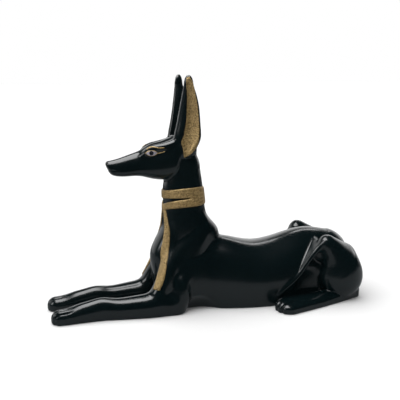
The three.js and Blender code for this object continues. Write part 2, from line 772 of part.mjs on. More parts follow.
// Thins out a closed mesh to a number of triangles, edge by edge, always where its surface changes least.
function thinOut({ positions, faces }, target) {
  const count = positions.length / 3;
  const point = Float64Array.from(positions);
  const quadrics = new Float64Array(count * 10);
  const around = Array.from({ length: count }, () => new Set());
  const round = new Uint32Array(count);
  const triangle = faces.map((face) => [...face]);
  const at = (v) => [point[v * 3], point[v * 3 + 1], point[v * 3 + 2]];
  triangle.forEach((face, index) => {
    const plane = planeOf(...face.map(at));
    for (const v of face) {
      const weight = plane.area * (point[v * 3 + 2] > HEAD_BOTTOM ? HEAD_DETAIL : 1);
      addPlane(quadrics, v, [...plane.normal, plane.offset], weight);
      around[v].add(index);
    }
  });
  const neighbours = (v) => {
    const found = new Set();
    for (const index of around[v]) {
      for (const other of triangle[index]) {
        if (other !== v) found.add(other);
      }
    }
    return found;
  };
  const queue = new CheapestFirst();
  const sum = new Float64Array(10);
  const consider = (a, b) => {
    for (let i = 0; i < 10; i += 1) {
      sum[i] = quadrics[a * 10 + i] + quadrics[b * 10 + i];
    }
    const pa = at(a);
    const pb = at(b);
    const middle = pa.map((value, i) => (value + pb[i]) / 2);
    const span = Math.hypot(pa[0] - pb[0], pa[1] - pb[1], pa[2] - pb[2]);
    let place = bestPoint(sum);
    if (!place || Math.hypot(place[0] - middle[0], place[1] - middle[1], place[2] - middle[2]) > span) {
      place = middle;
    }
    const cost = quadricError(sum, ...place) + EVENNESS * span * span;
    queue.push({ cost, a, b, place, rounds: round[a] + round[b] });
  };
  const considerAll = () => {
    for (let v = 0; v < count; v += 1) {
      for (const other of neighbours(v)) {
        if (other > v) consider(v, other);
      }
    }
  };
  considerAll();
  let left = triangle.length;
  let leftBefore = left;
  while (left > target) {
    if (queue.heap.length === 0) {
      if (left === leftBefore) break;
      leftBefore = left;
      considerAll();
    }
    const { a, b, place, rounds } = queue.pop();
    if (rounds !== round[a] + round[b] || around[a].size === 0 || around[b].size === 0) continue;
    const ringA = neighbours(a);
    const ringB = neighbours(b);
    const common = [...ringA].filter((v) => ringB.has(v));
    if (common.length !== 2 || turnsOver(a, b, place) || turnsOver(b, a, place)) continue;
    for (const index of [...around[b]]) {
      const face = triangle[index];
      if (face.includes(a)) {
        for (const v of face) around[v].delete(index);
        triangle[index] = null;
        left -= 1;
      } else {
        face[face.indexOf(b)] = a;
        around[a].add(index);
      }
    }
    around[b].clear();
    point.set(place, a * 3);
    for (let i = 0; i < 10; i += 1) {
      quadrics[a * 10 + i] += quadrics[b * 10 + i];
    }
    round[a] += round[b] + 1;
    for (const other of neighbours(a)) {
      consider(a, other);
    }
  }
  return { point, triangle: triangle.filter((face) => face) };

  // Whether a face around vertex a, but not around b, would turn over or shrink to a sliver if a moved.
  function turnsOver(a, b, place) {
    for (const index of around[a]) {
      const face = triangle[index];
      if (face.includes(b)) continue;
      const before = planeOf(...face.map(at));
      const after = planeOf(...face.map((v) => (v === a ? place : at(v))));
      const turn = dot(before.normal, after.normal);
      if (before.shape > DEGENERATE && turn < LARGEST_TURN) return true;
      if (after.shape < Math.min(SLIVER, before.shape)) return true;
    }
    return false;
  }
}

// Plane through three points, with the area between them, and that area as a share of the longest side
// squared.
function planeOf(p, q, r) {
  const u = [q[0] - p[0], q[1] - p[1], q[2] - p[2]];
  const v = [r[0] - p[0], r[1] - p[1], r[2] - p[2]];
  const w = [v[0] - u[0], v[1] - u[1], v[2] - u[2]];
  const cross = [u[1] * v[2] - u[2] * v[1], u[2] * v[0] - u[0] * v[2], u[0] * v[1] - u[1] * v[0]];
  const size = Math.sqrt(dot(cross, cross)) || Number.MIN_VALUE;
  const normal = [cross[0] / size, cross[1] / size, cross[2] / size];
  const longest = Math.max(dot(u, u), dot(v, v), dot(w, w));
  return { normal, offset: -dot(normal, p), area: size / 2, shape: size / 2 / longest };
}

function dot(u, v) {
  return u[0] * v[0] + u[1] * v[1] + u[2] * v[2];
}

// Sets the figure to its length, width and height, with the origin on the ground under its middle.
function toSize(point, used) {
  const box = new THREE.Box3();
  for (const v of used) {
    box.expandByPoint(new THREE.Vector3().fromArray(point, v * 3));
  }
  const middle = box.getCenter(new THREE.Vector3()).setZ(box.min.z);
  const scale = new THREE.Vector3(LENGTH, WIDTH, HEIGHT).divide(box.getSize(new THREE.Vector3()));
  return used.map((v) => new THREE.Vector3().fromArray(point, v * 3).sub(middle).multiply(scale));
}

function figureGeometry() {
  const box = new THREE.Box3(new THREE.Vector3(...SAMPLED_LOW), new THREE.Vector3(...SAMPLED_HIGH));
  const { point, triangle } = thinOut(polygonise(figure, box, SAMPLING_STEP), FACET_COUNT);
  const used = [...new Set(triangle.flat())];
  const numberOf = new Map(used.map((v, i) => [v, i]));
  const placed = toSize(point, used);
  for (const corner of placed) {
    if (Math.abs(corner.z) < GROUND_TOLERANCE) corner.z = 0;
  }
  const geometry = new THREE.BufferGeometry().setFromPoints(placed);
  geometry.setIndex(triangle.flat().map((v) => numberOf.get(v)));
  geometry.computeVertexNormals();
  return geometry;
}

function jackal() {
  const group = new THREE.Group();
  const mesh = new THREE.Mesh(figureGeometry(), new THREE.MeshStandardMaterial(GLAZE));
  mesh.name = 'jackal_figure';
  group.add(mesh);
  return group;
}

export default jackal();
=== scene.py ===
import bpy
import numpy as np
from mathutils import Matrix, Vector

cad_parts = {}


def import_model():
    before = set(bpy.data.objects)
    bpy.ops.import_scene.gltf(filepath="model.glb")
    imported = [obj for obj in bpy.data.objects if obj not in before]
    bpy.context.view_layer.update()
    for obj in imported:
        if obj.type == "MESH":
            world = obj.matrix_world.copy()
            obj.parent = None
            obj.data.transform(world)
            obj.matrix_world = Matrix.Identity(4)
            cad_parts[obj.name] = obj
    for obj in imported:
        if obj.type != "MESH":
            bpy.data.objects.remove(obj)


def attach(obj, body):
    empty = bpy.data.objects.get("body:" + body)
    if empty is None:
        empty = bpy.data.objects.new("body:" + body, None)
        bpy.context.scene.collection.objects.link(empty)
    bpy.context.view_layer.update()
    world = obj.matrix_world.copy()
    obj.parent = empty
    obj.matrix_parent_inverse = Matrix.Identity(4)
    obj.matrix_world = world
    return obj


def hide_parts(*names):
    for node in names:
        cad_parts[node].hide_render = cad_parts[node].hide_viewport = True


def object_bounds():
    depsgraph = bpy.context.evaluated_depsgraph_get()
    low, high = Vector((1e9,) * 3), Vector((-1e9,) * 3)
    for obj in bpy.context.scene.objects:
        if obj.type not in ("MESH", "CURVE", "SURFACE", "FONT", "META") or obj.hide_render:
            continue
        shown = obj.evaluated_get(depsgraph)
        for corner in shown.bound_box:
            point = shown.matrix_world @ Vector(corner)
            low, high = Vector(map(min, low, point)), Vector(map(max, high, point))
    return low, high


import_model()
CAD_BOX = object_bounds()

# A recumbent jackal figure in glossy black porcelain, with gilded ear linings, a gilded scarf and painted
# eyes. The form is drawn in millimetres as a distance, less than zero inside, and its surface is followed
# on a grid.

GLAZE_STEP = 1.56
# Share of the spacing in the fine zones along x, y and z, which take in the paws and the face.
FINER = 0.6
FINE_ZONES = (((-186, -150), (-110, -50), (56, 88)), (), ((0, 18), (152, 186)))
NO_FINE_ZONES = ((), (), ())
# Space that is searched for the surface, grid points along one side of a block, and the corners of a cell.
SAMPLED_LOW = (-186, -78, -4)
SAMPLED_HIGH = (186, 78, 262)
BLOCK = 8
CELL_CORNERS = [(i, j, k) for i in (0, 1) for j in (0, 1) for k in (0, 1)]
# Passes that settle a point on the surface, and how far to each side of it a slope is measured.
SURFACE_PASSES = 3
SLOPE_REACH = 0.3
# Points in the table of a smooth curve, and steps from one point of a strand to the next.
CURVE_TABLE = 1500
STRAND_STEPS = 6
# The least slope, length and rate that anything is divided by.
LEAST_SLOPE = 1e-6
LEAST_LENGTH = 1e-9
LEAST_RATE = 0.1

# Sections of each form, drawn on one side of the figure. A pair is mirrored to the other side.
# Trunk, from the chest back to the rump: x, top, level of the greatest width, half width.
TRUNK_SECTIONS = [
    (-34, 80, 34, 24),
    (-10, 79, 30, 28),
    (18, 76, 28, 36.4),
    (52, 68.2, 26, 42.4),
    (84, 71.2, 27, 42.2),
    (118, 78.4, 30, 37),
    (146, 74.4, 34, 31.5),
]
TRUNK_UNDERSIDE = -60
TRUNK_ENDS = (20, 30)

# Chest and neck, from the ground up: z, front, back, place of the greatest width, half width.
CHEST_SECTIONS = [
    (8, -58, 10, -34, 26),
    (30, -62.5, 12, -33, 29.4),
    (48, -66, 12, -31, 28),
    (63, -66.6, 12, -29, 26.2),
    (78, -60.4, 12, -27, 25.2),
    (90, -54.6, 8, -27, 24.4),
    (101, -52.6, -1.2, -27, 23),
    (117, -51.4, -5.4, -28, 20.4),
    (136, -51.4, -7.4, -29, 18.6),
    (156, -47, -10.4, -29.5, 17.2),
]
CHEST_ENDS = (20, 24)

# Foreleg, from the toes back to the elbow: x, top, level of the greatest width, half width, and how far its
# centre is from the middle.
FORELEG_SECTIONS = [
    (-169, 14.4, 6, 10.2, 21.6),
    (-160, 15.6, 6.5, 10.2, 21.4),
    (-151, 18.2, 7, 9.9, 21),
    (-138, 21, 8, 9.8, 20.8),
    (-126, 23, 9, 9.8, 20.8),
    (-111, 21.4, 9, 10.6, 22.2),
    (-96, 21.8, 9.5, 11.6, 23.6),
    (-70, 24, 10, 13.2, 25.2),
    (-48, 24, 10, 12.2, 25),
]
FORELEG_UNDERSIDE = -12
FORELEG_ENDS = (10, 11)

# Head, from the muzzle to the cheeks: x, top, bottom, level of the greatest width, half width.
HEAD_SECTIONS = [
    (-109.5, 166.8, 151.6, 159, 6.2),
    (-100, 169.0, 149.4, 157.5, 7.6),
    (-88, 172.9, 149.2, 158, 9.2),
    (-75, 177.8, 148.4, 159.5, 11.4),
    (-66, 183, 146, 161, 14),
    (-58, 185.2, 144.4, 163, 16.6),
    (-49, 187.4, 144, 165, 18.6),
    (-42, 189.4, 145.6, 166, 19.2),
]
HEAD_ENDS = (8, 9)
SKULL = {"centre": (-36, 0, 174.4), "halves": (22.5, 17, 16.2), "pitch": 0.2}
NOSE_TIP = (-115.2, 165)
NOSE_SLOPE = 0.45
BROW_RIDGE = [
    (-75.4, 6.6, 171, 3),
    (-66, 9.8, 178, 4.2),
    (-54, 12.2, 180.6, 4.6),
    (-42, 12, 184, 4.4),
]
EYE_SOCKET = {"centre": (-67, 19.6, 172.5), "halves": (13, 4.8, 7.5), "pitch": 0.15}
EYE_BULGE = {"centre": (-67.5, 10.2, 174.8), "halves": (6.4, 4.3, 4), "pitch": 0.1}
MOUTH_LINE = [
    (-112, 3, 157.2, 1),
    (-104, 8, 156, 1),
    (-94, 9.6, 155.5, 1),
    (-83, 11.2, 156, 1),
    (-73, 13.4, 154.6, 1),
    (-66, 16, 151.8, 1),
]
JAW_EDGE = [
    (-31.6, 19, 169.5, 1.2),
    (-33.6, 19.6, 161.5, 1.2),
    (-36.6, 19.6, 154.8, 1.2),
    (-42, 18.6, 148.6, 1.2),
    (-49, 16, 144.6, 1.2),
    (-57, 8, 143.4, 1.2),
]

# Ear and the hollow in it, from the root up to the tip: z, front, back, how far the centre is from the
# middle, half thickness.
EAR_SECTIONS = [
    (178, -38.5, -19.6, 16, 5.6),
    (189, -42.4, -15, 16.2, 7),
    (197, -41.4, -14.6, 16.4, 7),
    (206, -39.4, -15.2, 16.6, 6.6),
    (221, -36.8, -16.4, 17.3, 5.8),
    (235, -34.5, -19.4, 18.4, 4.6),
    (246, -32.9, -23.2, 19.5, 3),
]
EAR_ENDS = (9, 10.4)
EAR_TURN = 0.26
EAR_HOLLOW_SECTIONS = [
    (176, -35.6, -25, 25.5, 6),
    (189, -37, -16.8, 26, 7),
    (206, -32.4, -16.4, 25.6, 7),
    (221, -31.4, -17.8, 24.8, 6),
    (235, -31.2, -20.2, 24.4, 5),
    (246, -31.0, -23.8, 23.4, 3),
]
EAR_HOLLOW_ENDS = (8, 7)

# Hind foot, from the toes back to the heel: place along the foot, top, level of the greatest width, half
# width, and bend of its centre.
FOOT_TOES = np.array((72.3, 58.2))
FOOT_HEEL = np.array((168, 32.4))
FOOT_SECTIONS = [
    (0, 11.8, 5, 15.1, 0),
    (18, 12.6, 5, 14.2, 0.8),
    (42, 12.8, 5, 12.6, 1.8),
    (72, 15, 6, 10.8, 1.8),
    (98, 18, 8, 9.4, 0.4),
]
FOOT_UNDERSIDE = -16
FOOT_ENDS = (11.5, 7.5)

# Eggs and strands of the limbs and muscles: centres, half sizes, and points with a radius each.
UPPER_ARM = [
    (-16, 20, 51, 5),
    (-26, 20.4, 44.5, 7.4),
    (-34, 21.6, 38, 9.4),
    (-40, 23.6, 31, 12),
    (-41, 24.4, 20, 13.2),
    (-46, 24.4, 6, 12.6),
]
FOREARM_ROOT = [
    (-44, 12, 66, 9),
    (-50, 20, 50, 10),
    (-57, 23, 33, 10.6),
    (-67, 25, 15, 10.5),
]
BELLY_RECESS = {"centre": (-22, 44, -3), "halves": (30, 26, 24)}
SHOULDER = {"centre": (-18, 15, 27), "halves": (24, 14.5, 46), "pitch": 0.1}
THIGH = [
    (129, 39.5, 67.5, 8),
    (138, 39, 55, 13.5),
    (149, 36, 41, 19.6),
]
CALF = {"centre": (149, 37, 27), "halves": (26.6, 21, 27)}
KNEE_TO_HIP = [
    (129, 39.5, 67.5, 8),
    (143, 34, 60, 9),
    (157, 28, 51, 12),
]
KNEE_ROOT = [
    (122, 31, 54, 8),
    (136, 28, 58, 11),
]
FLANK_FOLD = [
    (122, 40.5, 67, 3.4),
    (112, 41, 57, 3),
    (101, 41, 43, 2.8),
    (92, 41, 31, 2.4),
    (77, 41.5, 19, 2.4),
    (66, 39.5, 8, 2.4),
    (58, 37, 1, 2.4),
]
FLANK_HOLLOW = {"centre": (110, 50, 20), "halves": (27, 17, 26), "pitch": 0.5}
TAIL = [
    (160, 0, 56, 8),
    (170, 2, 36, 7.2),
    (170.5, 9, 15, 7.2),
    (169, 19, 2, 7.5),
]
FOOT_WEB = [
    (78, 44, -1, 10),
    (108, 43, -3, 12),
    (138, 38, -2, 13),
    (164, 26, -2, 14),
]
# Creases between the muscles of the neck and shoulder, seen from the side: x, z and depth.
NECK_CREASE = [
    (-64, 46, 0),
    (-50, 66, 4),
    (-44.6, 73.5, 4),
    (-34, 82.5, 3.2),
    (-18, 93.6, 2.2),
    (-5, 102, 0),
]
SHOULDER_CREASE = [
    (-44, 57, 0),
    (-31, 60, 0.6),
    (-18, 61.5, 1.6),
    (-10, 65.5, 1.7),
    (-4.5, 71, 1),
    (0, 77, 0.3),
    (4, 84, 0),
]
# How far the creases reach above and below their lines, how they fade above, half the length over which
# their slope is measured, and how far from the middle of the figure they begin and are full.
NECK_CREASE_REACH = (18, 9)
SHOULDER_CREASE_REACH = (11, 9)
CREASE_FADE = 1.3
CREASE_HALF_STEP = 0.5
CREASE_SIDE = (8, 18)

# Toes: how many, how sharp the grooves between them are, the length over which these fade, and half a toe.
# For each foot: middle of the row, width of a toe, depth and end of the grooves.
TOE_COUNT = 4
TOE_SHAPE = 3
TOE_FADE = 10
HALF_TOE = 0.5
FORE_TOES = {"middle": 23.1, "width": 4.9, "depth": 1.6, "end": -155}
HIND_TOES = {"middle": -3, "width": 7.6, "depth": 2.2, "end": 14}

# Scarf wound round the neck: angle from the front, top, top and bottom of the gap between its two turns,
# bottom.
SCARF_EDGES = [
    (0, 132.2, 123.0, 116.4, 109.8),
    (40, 134.2, 124.8, 121.6, 113.4),
    (70, 135.6, 125.3, 123.6, 115.0),
    (95, 136.0, 125.0, 124.6, 115.6),
    (120, 136.0, 123.0, 126.0, 115.8),
    (180, 134.6, 122.0, 127.0, 116.0),
]
# Middle of the neck along x, space that holds the scarf, its relief, width of its rounded edge, and what
# the knot in front adds over half its width.
SCARF_AXIS = -28
SCARF_LOW = (-60, -26, 104)
SCARF_HIGH = (2, 26, 142)
SCARF_RELIEF = 1.1
SCARF_EDGE = 1.6
SCARF_KNOT = {"extra": 0.5, "half": 4}

# Ribbon that falls from the scarf over the chest, one on each side: x, how far it is from the middle, z,
# half width.
RIBBON = [
    (-51.2, 3.6, 112, 2.6),
    (-50.8, 8.2, 100.3, 3),
    (-50.8, 11.3, 91, 3.7),
    (-52.8, 15, 79, 4.1),
    (-55, 17.2, 69.4, 4.8),
    (-57.6, 20.7, 60, 5.4),
    (-60, 24.4, 50, 5.8),
    (-63.4, 28, 40, 5.4),
    (-68.4, 30.6, 30, 4.4),
]
# Space that holds the ribbon, its relief, width of its rounded edge, level of its lower end, and how far
# its upper end is tucked under the scarf.
RIBBON_LOW = (-80, 0.3, 24)
RIBBON_HIGH = (-42, 42, 114)
RIBBON_RELIEF = 1.0
RIBBON_EDGE = 1.4
RIBBON_END = 29
TUCKED_UNDER = 1.2

# Gilded lining of the ear, from the root up to the tip: z, front and back edge.
EAR_GILDING = [
    (169.5, -32.8, -31.8),
    (173, -33.6, -26.6),
    (177, -34.2, -22.8),
    (180.3, -34.8, -20.4),
    (185.2, -36.4, -18.5),
    (189, -35.2, -17.9),
    (192.5, -33.6, -17.7),
    (202, -31.9, -17.5),
    (211, -30.7, -18.1),
    (225, -29.9, -19.5),
    (240, -30.2, -22),
    (249.4, -30.9, -24.6),
    (254.0, -30.1, -27.6),
]
# Space that holds the lining.
EAR_GILDING_LOW = (-44, 8, 164)
EAR_GILDING_HIGH = (-8, 36, 260)

# Painted eye on the side of the head: points on its lids, its iris, the width of its gold outline, and the
# outline's tail and the gold brow by x, z and half width.
EYE_INNER = (-73.0, 174.9)
EYE_TOP = (-67.4, 177.3)
EYE_OUTER = (-61, 174.9)
EYE_BOTTOM = (-66.5, 172.3)
IRIS_CENTRE = (-67.5, 174.9)
IRIS_RADIUS = 2.3
EYE_LINE = 0.55
EYE_TAIL = [
    (-62.5, 174.3, 0.3),
    (-58.5, 174.8, 0.55),
    (-53.4, 176.2, 0.4),
]
# The brow is drawn only on the side of the head, from this far off the middle outwards.
BROW_SIDE = 8.2
BROW_LINE = [
    (-71.8, 178.6, 0.2),
    (-69.2, 180.6, 0.35),
    (-65.2, 181.4, 0.4),
    (-59.2, 180.3, 0.4),
    (-53.8, 180.6, 0.3),
]
# Space that holds all of the eye.
EYE_LOW = (-79, 4, 167)
EYE_HIGH = (-48, 24, 187)

GILDING_STEP = 0.8
PAINT_STEP = 0.35
# How far a skin and the iris stand off the glaze, the relief and the rounded edge of the gold lines, how
# deep a skin reaches into the glaze, and the bend in degrees from which its edges are drawn sharp.
PAINT_LIFT = 0.16
IRIS_LIFT = 0.26
LINE_RELIEF = 0.22
LINE_EDGE = 0.5
SKIN_DEPTH = 0.7
SHARP_FROM = 50
# Share of the spacing within which a point is drawn onto a skin's border.
SNAPPED = 0.3

# Beyond these limits a group of forms no longer reaches the surface. This far from a strand's box, only
# the box counts.
TORSO_TOP = 140
WAIST = 36
HEAD_BOTTOM = 125
FAR_AWAY = 16

# Fillets between the forms.
GROUND_EDGE_ROUNDING = 1.8
WITHERS_FILLET = 7
ARM_FILLET = 4
SHOULDER_FILLET = 12
LIMB_FILLET = 8
THIGH_FILLET = 12
FOLD_FILLET = 5
FOOT_FILLET = 3
JAW_FILLET = 4
FACE_FILLET = 5
EAR_FILLET = 5
EAR_HOLLOW_EDGE = 1
CARVED_EDGE = 1.5

# Colours of each coat where it is thin and where it is full.
EYE_WHITE = ((0.21, 0.20, 0.25, 1), (0.36, 0.34, 0.38, 1))
EYE_DARK = ((0.004, 0.005, 0.009, 1), (0.010, 0.011, 0.018, 1))
GLAZE_COLOURS = ((0.0012, 0.0046, 0.0056, 1), (0.0024, 0.0068, 0.0078, 1))
GOLD_COLOURS = ((0.09, 0.060, 0.018, 1), (0.60, 0.42, 0.18, 1))
WORN_GOLD = ((0.68, 0.66, 0.62, 1), (1.0, 1.0, 1.0, 1))
PAPER_COLOURS = ((0.84, 0.84, 0.84, 1), (0.86, 0.86, 0.86, 1))
# Painted shade: the grey of the floor that only reflections show, darker than the pale floor so that the
# glaze reflects a dimmer floor.
PAINTED_SHADE_COLOURS = ((0.60, 0.62, 0.64, 1), (0.64, 0.66, 0.68, 1))
# Marks of each effect: how many there are to a metre along x, y and z, and their contrast.
GLAZE_WAVES = ((55, 55, 55), 1)
GLAZE_CLOUDS = ((14, 14, 14), 2)
GOLD_STIPPLE = ((950, 950, 950), 3)
GOLD_STREAKS = ((60, 60, 1100), 2.5)
ENAMEL_MARKS = ((500, 500, 900), 2)
PAPER_FIBRES = ((700, 700, 700), 2)
# Roughness where a coat is thin and where it is full, and the depth of its marks in metres.
GLAZE_ROUGHNESS = (0.17, 0.23)
GOLD_ROUGHNESS = (0.42, 0.62)
ENAMEL_ROUGHNESS = (0.2, 0.32)
GLAZE_DEPTH = 0.00012
GOLD_DEPTH = 0.00008
ENAMEL_DEPTH = 0.00002
# How strongly the glaze bends light, and how far the gilding is metal.
GLAZE_IOR = 1.47
GOLD_METALLIC = 0.45
# Fineness of the noise behind the marks, and its middle value.
NOISE_DETAIL = 3
NOISE_MIDDLE = 0.5
# What a coat takes, in this order, and what it gives.
COAT_INPUTS = {
    "Marks": "NodeSocketVector",
    "Contrast": "NodeSocketFloat",
    "Thin Colour": "NodeSocketColor",
    "Full Colour": "NodeSocketColor",
    "Smooth": "NodeSocketFloat",
    "Rough": "NodeSocketFloat",
}
COAT_OUTPUTS = {
    "Mask": "NodeSocketFloat",
    "Colour": "NodeSocketColor",
    "Roughness": "NodeSocketFloat",
}

# The camera that took the photograph, worked out from the figure's proportions. Looking level, it is
# pitched a right angle.
CAMERA_PLACE = (-0.232, -0.715, 0.268)
CAMERA_AZIMUTH = -17.3
CAMERA_ELEVATION = 11.3
CAMERA_LENS = 61.65
CAMERA_SENSOR = 36
CAMERA_REACH = 100
CAMERA_LEVEL = 90

# Studio: what the camera sees behind the floor, the even light that falls on everything, and the soft sun.
CAMERA_WHITE = 1.0
WHITE = (1, 1, 1, 1)
AMBIENT = 0.36
KEY_STRENGTH = 3.2
KEY_SOFTNESS = 85
KEY_FROM = (-0.35, 0.1, 1)
# What reflections show: a dark studio, with a glowing backdrop behind the figure. It comes in by the
# direction's share of +Y, and ends at its foot and its top by the direction's share of up.
DARK_STUDIO = 0.012
BACKDROP_GLOW = 1.3
BACKDROP_FROM = (0.15, 0.6)
BACKDROP_FOOT = (-0.12, 0.0)
BACKDROP_TOP = (0.4, 0.62)
# Soft lights that only reflections show: name, place, the point that it faces, width and height, power.
REFLECTED = (
    ("top_box", (-0.1, -0.05, 0.45), (-0.1, -0.05, 0), (0.3, 0.34), 2.9),
    ("rear_strip", (0.75, 0.95, 1.1), (0.75, 0, 0.1), (0.8, 0.14), 2.4),
    ("front_left", (-1.5, -0.35, 0.9), (-0.1, 0, 0.12), (0.5, 0.9), 8),
)
# Corners of the floor, and of the darker one that only reflections show, and how far that one lies below.
# The darker one is painted shade: it dims the floor as the glaze reflects it.
FLOOR = ((-8, -8), (8, 8))
REFLECTED_FLOOR = ((-0.8, -0.2), (0.8, 0.45))
JUST_BELOW = 0.0003


def curve(stations, column):
    """Natural cubic spline of one column over the first, read off a fine table."""
    at = np.array([row[0] for row in stations], float)
    value = np.array([row[column] for row in stations], float)
    gap = np.diff(at)
    count = len(at)
    system = np.eye(count)
    turn = np.zeros(count)
    for i in range(1, count - 1):
        system[i, i - 1:i + 2] = gap[i - 1], 2 * (gap[i - 1] + gap[i]), gap[i]
        turn[i] = 6 * ((value[i + 1] - value[i]) / gap[i] - (value[i] - value[i - 1]) / gap[i - 1])
    bend = np.linalg.solve(system, turn)
    fine = np.linspace(at[0], at[-1], CURVE_TABLE)
    i = np.clip(np.searchsorted(at, fine, side="right"), 1, count - 1)
    right = (fine - at[i - 1]) / gap[i - 1]
    left = 1 - right
    sag = (left ** 3 - left) * bend[i - 1] + (right ** 3 - right) * bend[i]
    table = left * value[i - 1] + right * value[i] + sag * gap[i - 1] ** 2 / 6
    return lambda t: np.interp(t, fine, table)


def blend(a, b, radius):
    """Joins two forms with a soft fillet of about the given radius."""
    overlap = np.maximum(radius - np.abs(a - b), 0) / radius
    return np.minimum(a, b) - overlap ** 3 * radius / 6


def share(a, b, radius):
    """Keeps only what lies in both forms, with a softened edge."""
    return -blend(-a, -b, radius)


def ease(t):
    """Smooth step from none at zero to all at one."""
    h = np.clip(t, 0, 1)
    return h * h * (3 - 2 * h)


def egg_distance(q, r, s, halves):
    """Distance to an egg, from the coordinates of a point as shares of its half sizes."""
    reach = np.sqrt(q * q + r * r + s * s)
    rate = np.sqrt((q / halves[0]) ** 2 + (r / halves[1]) ** 2 + (s / halves[2]) ** 2)
    return reach * (reach - 1) / np.maximum(rate, LEAST_SLOPE)


def egg(centre, halves, pitch=0):
    """Egg with its own half sizes, pitched about the side axis."""
    cos = np.cos(pitch)
    sin = np.sin(pitch)

    def distance(x, y, z):
        dx = x - centre[0]
        dz = z - centre[2]
        q = (cos * dx + sin * dz) / halves[0]
        s = (cos * dz - sin * dx) / halves[2]
        return egg_distance(q, (y - centre[1]) / halves[1], s, halves)

    return distance


def loft(stations, columns, ends, underside=None, turn=0):
    """Form whose section at t is two half ellipses on a common width, with rounded ends.

    The columns name what each value of a station is: the high and the low side, the level of the greatest
    width, the half width, and the distance from the middle.
    """
    first = stations[0][0]
    last = stations[-1][0]
    value = {name: curve(stations, i + 1) for i, name in enumerate(columns)}

    def distance(t, side, rise):
        low = value["low"](t) if "low" in value else underside
        high = value["high"](t)
        middle = value["level"](t) if "level" in value else (low + high) / 2
        half = value["width"](t)
        extent = np.where(rise > middle, high - middle, middle - low)
        cap = np.where(t > last, ends[1], ends[0])
        beyond = np.where(t > last, t - last, np.maximum(first - t, 0))
        aside = value["aside"](t) + turn * (rise - middle) if "aside" in value else 0
        across = (side - aside) / half
        return egg_distance(across, (rise - middle) / extent, beyond / cap, (half, extent, cap))

    return distance


def smooth_chain(points):
    """Points with more points between them, on a smooth curve."""
    keys = [(i, *point) for i, point in enumerate(points)]
    shares = np.arange((len(points) - 1) * STRAND_STEPS + 1) / STRAND_STEPS
    return np.stack([curve(keys, column)(shares) for column in (1, 2, 3, 4)], 1)


def strand(points, deep=False):
    """Strand along a few points, each with its own radius, smoothed between them.

    Far from it, only its box counts. A deep one reaches inwards from its points to the middle of the
    figure, as a fold of skin does.
    """
    chain = smooth_chain(points)
    thickest = chain[:, 3].max()
    low = chain[:, :3].min(0) - thickest
    high = chain[:, :3].max(0) + thickest

    def distance(x, y, z):
        out_x = np.maximum(low[0] - x, x - high[0])
        out_y = y - high[1] if deep else np.maximum(low[1] - y, y - high[1])
        out_z = np.maximum(low[2] - z, z - high[2])
        away = np.maximum(np.maximum(out_x, out_y), np.maximum(out_z, 0))
        near = away <= FAR_AWAY
        away[near] = chain_distance(chain, x[near], y[near], z[near], deep)
        return away

    return distance


def chain_distance(chain, x, y, z, deep):
    """Distance to a row of round links that taper from point to point."""
    nearest = np.full(x.shape, np.inf)
    for (ax, ay, az, ar), (bx, by, bz, br) in zip(chain[:-1], chain[1:]):
        dx = bx - ax
        dy = by - ay
        dz = bz - az
        reach = np.maximum(y, ay + dy / 2) if deep else y
        along = ((x - ax) * dx + (reach - ay) * dy + (z - az) * dz) / (dx * dx + dy * dy + dz * dz)
        h = np.clip(along, 0, 1)
        gap_y = y - ay - dy * h
        if deep:
            gap_y = np.maximum(gap_y, 0)
        gap = np.sqrt((x - ax - dx * h) ** 2 + gap_y ** 2 + (z - az - dz * h) ** 2)
        nearest = np.minimum(nearest, gap - ar - (br - ar) * h)
    return nearest


def crease(points, reach):
    """Depth of a crease on the side of the figure: gently sloped above it, and steep below it."""
    level = curve(points, 1)
    depth = curve(points, 2)

    def value(x, z):
        lean = level(x + CREASE_HALF_STEP) - level(x - CREASE_HALF_STEP)
        above = (z - level(x)) / np.hypot(1, lean)
        rise = np.clip(1 - above / reach[0], 0, 1) ** CREASE_FADE
        profile = np.where(above > 0, rise, ease(1 + above / reach[1]))
        inside = (x > points[0][0]) & (x < points[-1][0])
        return np.where(inside, np.maximum(depth(x), 0) * profile, 0)

    return value


def toe_grooves(along, across, toes):
    """How deep the surface sinks between the toes. The outer toes stay round on their free side."""
    place = (across - toes["middle"]) / toes["width"] + TOE_COUNT / 2
    place = np.clip(place, HALF_TOE, TOE_COUNT - HALF_TOE)
    off_middle = np.abs(place - np.floor(place) - HALF_TOE) / HALF_TOE
    return toes["depth"] * off_middle ** TOE_SHAPE * ease((toes["end"] - along) / TOE_FADE)


trunk = loft(TRUNK_SECTIONS, ("high", "level", "width"), TRUNK_ENDS, underside=TRUNK_UNDERSIDE)
chest = loft(CHEST_SECTIONS, ("low", "high", "level", "width"), CHEST_ENDS)
foreleg = loft(
    FORELEG_SECTIONS, ("high", "level", "width", "aside"), FORELEG_ENDS, underside=FORELEG_UNDERSIDE
)
face = loft(HEAD_SECTIONS, ("high", "low", "level", "width"), HEAD_ENDS)
ear = loft(EAR_SECTIONS, ("low", "high", "aside", "width"), EAR_ENDS, turn=EAR_TURN)
ear_hollow = loft(EAR_HOLLOW_SECTIONS, ("low", "high", "aside", "width"), EAR_HOLLOW_ENDS, turn=EAR_TURN)
foot = loft(FOOT_SECTIONS, ("high", "level", "width", "aside"), FOOT_ENDS, underside=FOOT_UNDERSIDE)
foot_axis = (FOOT_HEEL - FOOT_TOES) / np.linalg.norm(FOOT_HEEL - FOOT_TOES)
upper_arm = strand(UPPER_ARM)
forearm_root = strand(FOREARM_ROOT)
shoulder = egg(**SHOULDER)
belly_recess = egg(**BELLY_RECESS)
neck_crease = crease(NECK_CREASE, NECK_CREASE_REACH)
shoulder_crease = crease(SHOULDER_CREASE, SHOULDER_CREASE_REACH)
thigh = strand(THIGH)
calf = egg(**CALF)
knee_to_hip = strand(KNEE_TO_HIP)
knee_root = strand(KNEE_ROOT)
flank_fold = strand(FLANK_FOLD, deep=True)
flank_hollow = egg(**FLANK_HOLLOW)
tail = strand(TAIL)
foot_web = strand(FOOT_WEB)
skull = egg(**SKULL)
eye_socket = egg(**EYE_SOCKET)
